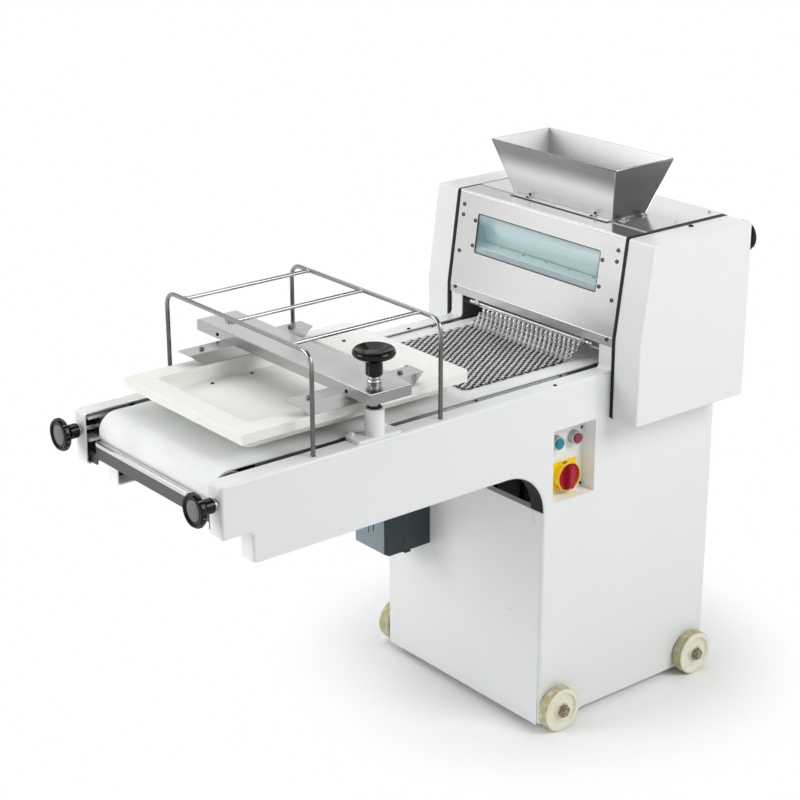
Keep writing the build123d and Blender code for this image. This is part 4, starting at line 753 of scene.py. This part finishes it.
# ---- Controls ----
# Two push buttons in bright bezels over a rotary main switch: a red dial in the collar of a yellow
# plate, with padlock slots in the collar drawn as painted shade. They stand in a pressed recess, coated
# white with painted light on its side walls, and held by two screws.
recess_coat, shader, spot, tone = powder_coat("recess_coat", white)
# Painted light: the side walls of the recess are lighter than the rest of the coat.
feed(shader, Base_Color=abs(spot.facing(0)).rise(0.9, 0.6).over(tone, (0.97, 0.98, 0.97)))
paint(recess_coat, "control_recess")
paint(metal("bezel_chrome", (0.36, 0.36, 0.37), (0.5, 0.5, 0.51), 0.16, 60.0), "button_bezels")


def moulded(name, deep, pale):
    plastic, shader, spot = finish(name, Specular_IOR_Level=0.25)
    tone = spot.noise(70.0).tint(deep, pale)
    feed(shader, Base_Color=tone, Roughness=spot.noise(160.0) * 0.15 + 0.25)
    return plastic, shader, spot, tone


paint(moulded("button_teal", (0.0, 0.2, 0.26), (0.004, 0.25, 0.31))[0], "start_button")
paint(moulded("button_crimson", (0.22, 0.028, 0.055), (0.27, 0.042, 0.07))[0], "stop_button")
paint(moulded("switch_red", (0.35, 0.007, 0.026), (0.42, 0.013, 0.038))[0], "switch_dial")

yellow, shader, spot, tone = moulded("switch_yellow", (0.93, 0.6, 0.002), (0.97, 0.66, 0.004))
switch_y, switch_z = spot.part(1) - 0.2325, spot.part(2) - 0.569
# Painted shade stands in for the padlock slots: three dark marks on the collar.
slots = 0
for angle in (100, 220, 340):
    along = switch_y * cos(radians(angle)) + switch_z * sin(radians(angle))
    aside = switch_z * cos(radians(angle)) - switch_y * sin(radians(angle))
    slots = slots + along.rise(0.028, 0.029) * abs(aside).rise(0.0058, 0.0048)
depth = spot.part(0).rise(0.2292, 0.2298) * spot.part(0).rise(0.2358, 0.2352)
feed(shader, Base_Color=(slots * depth).over(tone, (0.05, 0.012, 0.004)))
paint(yellow, "switch_plate")
recess_floor = 224
recess_screws = [(mm(recess_floor, 281, z), right) for z in (664, 537)]
settle("recess_screws", placed(cross_screw(0.0036), recess_screws), steel_screw, "frame")


# ---- Studio ----
# A plain white sweep with a weak softbox over the object, the main one high at the right
# and a third low at the left of the camera.
def softbox(name, place, aim, size, watts):
    lamp = bpy.data.lights.new(name, "AREA")
    lamp.shape, lamp.size, lamp.energy = "SQUARE", size, watts
    stand = bpy.data.objects.new(name, lamp)
    bpy.context.collection.objects.link(stand)
    stand.location = place
    stand.rotation_euler = (Vector(place) - Vector(aim)).to_track_quat("Z", "Y").to_euler()


softbox("box_over", (-1.0, 0.1, 2.9), (-0.2, 0.0, 0.8), 2.0, 23)
softbox("box_at_right", (3.2, 1.4, 3.0), (0.2, 0.2, 0.6), 2.0, 91)
softbox("box_left", (-1.4, -3.2, 1.9), (0, 0, 0.6), 1.8, 69)


def seen_rays(tree):
    """1 for what the camera sees, straight, in a mirror or through a pane, and 0 for light on the object."""
    rays = tree.nodes.new("ShaderNodeLightPath").outputs
    camera_ray = Signal(tree, rays["Is Camera Ray"])
    return camera_ray + Signal(tree, rays["Is Glossy Ray"]) + Signal(tree, rays["Is Transmission Ray"])


world = bpy.data.worlds.new("studio")
world.use_nodes = True
bpy.context.scene.world = world
seen = seen_rays(world.node_tree)
above = seen.node("ShaderNodeTexCoord", {}, output="Generated").part(2)
seen_colour = above.rise(0.28, 0.8).tint((1, 1, 1), (0.22, 0.225, 0.23))
fill = (0.35, 0.355, 0.36)
shown = seen.node("ShaderNodeMix", {0: seen, 6: (*fill, 1), 7: seen_colour}, output=2, data_type="RGBA")
feed(world.node_tree.nodes["Background"], Color=shown)

bm = bmesh.new()
bmesh.ops.create_grid(bm, x_segments=1, y_segments=1, size=12)
mesh = bpy.data.meshes.new("floor")
bm.to_mesh(mesh)
bm.free()
floor = bpy.data.objects.new("floor", mesh)
bpy.context.collection.objects.link(floor)
floor_paint, shader, spot = finish("floor_paint", Roughness=0.9, Specular_IOR_Level=0.1)
feed(shader, Base_Color=spot.noise(3.0).tint((0.93, 0.93, 0.93), (0.95, 0.95, 0.95)))
far = spot.moved(0, 0.4, 0).length().rise(0.32, 0.64) * seen_rays(spot.tree)
glow = spot.node("ShaderNodeEmission", {})
blend = spot.node("ShaderNodeMixShader", {0: far, 1: Signal(spot.tree, shader.outputs[0]), 2: glow})
feed(spot.tree.nodes["Material Output"], Surface=blend)
floor.data.materials.append(floor_paint)

camera = bpy.data.objects.new("camera", bpy.data.cameras.new("camera"))
bpy.context.collection.objects.link(camera)
bpy.context.scene.camera = camera
camera.data.sensor_fit = "HORIZONTAL"
camera.data.sensor_width = 36
camera.data.lens = 88.08
camera_place, swung, tipped, rolled = (2.97585, -2.4179, 2.1559), 51.24, 20.45, -0.19
camera.matrix_world = (Matrix.Translation(camera_place) @ Matrix.Rotation(radians(swung), 4, "Z")
                       @ Matrix.Rotation(radians(90 - tipped), 4, "X")
                       @ Matrix.Rotation(radians(rolled), 4, "Z"))
bpy.context.scene.view_settings.view_transform = "Standard"
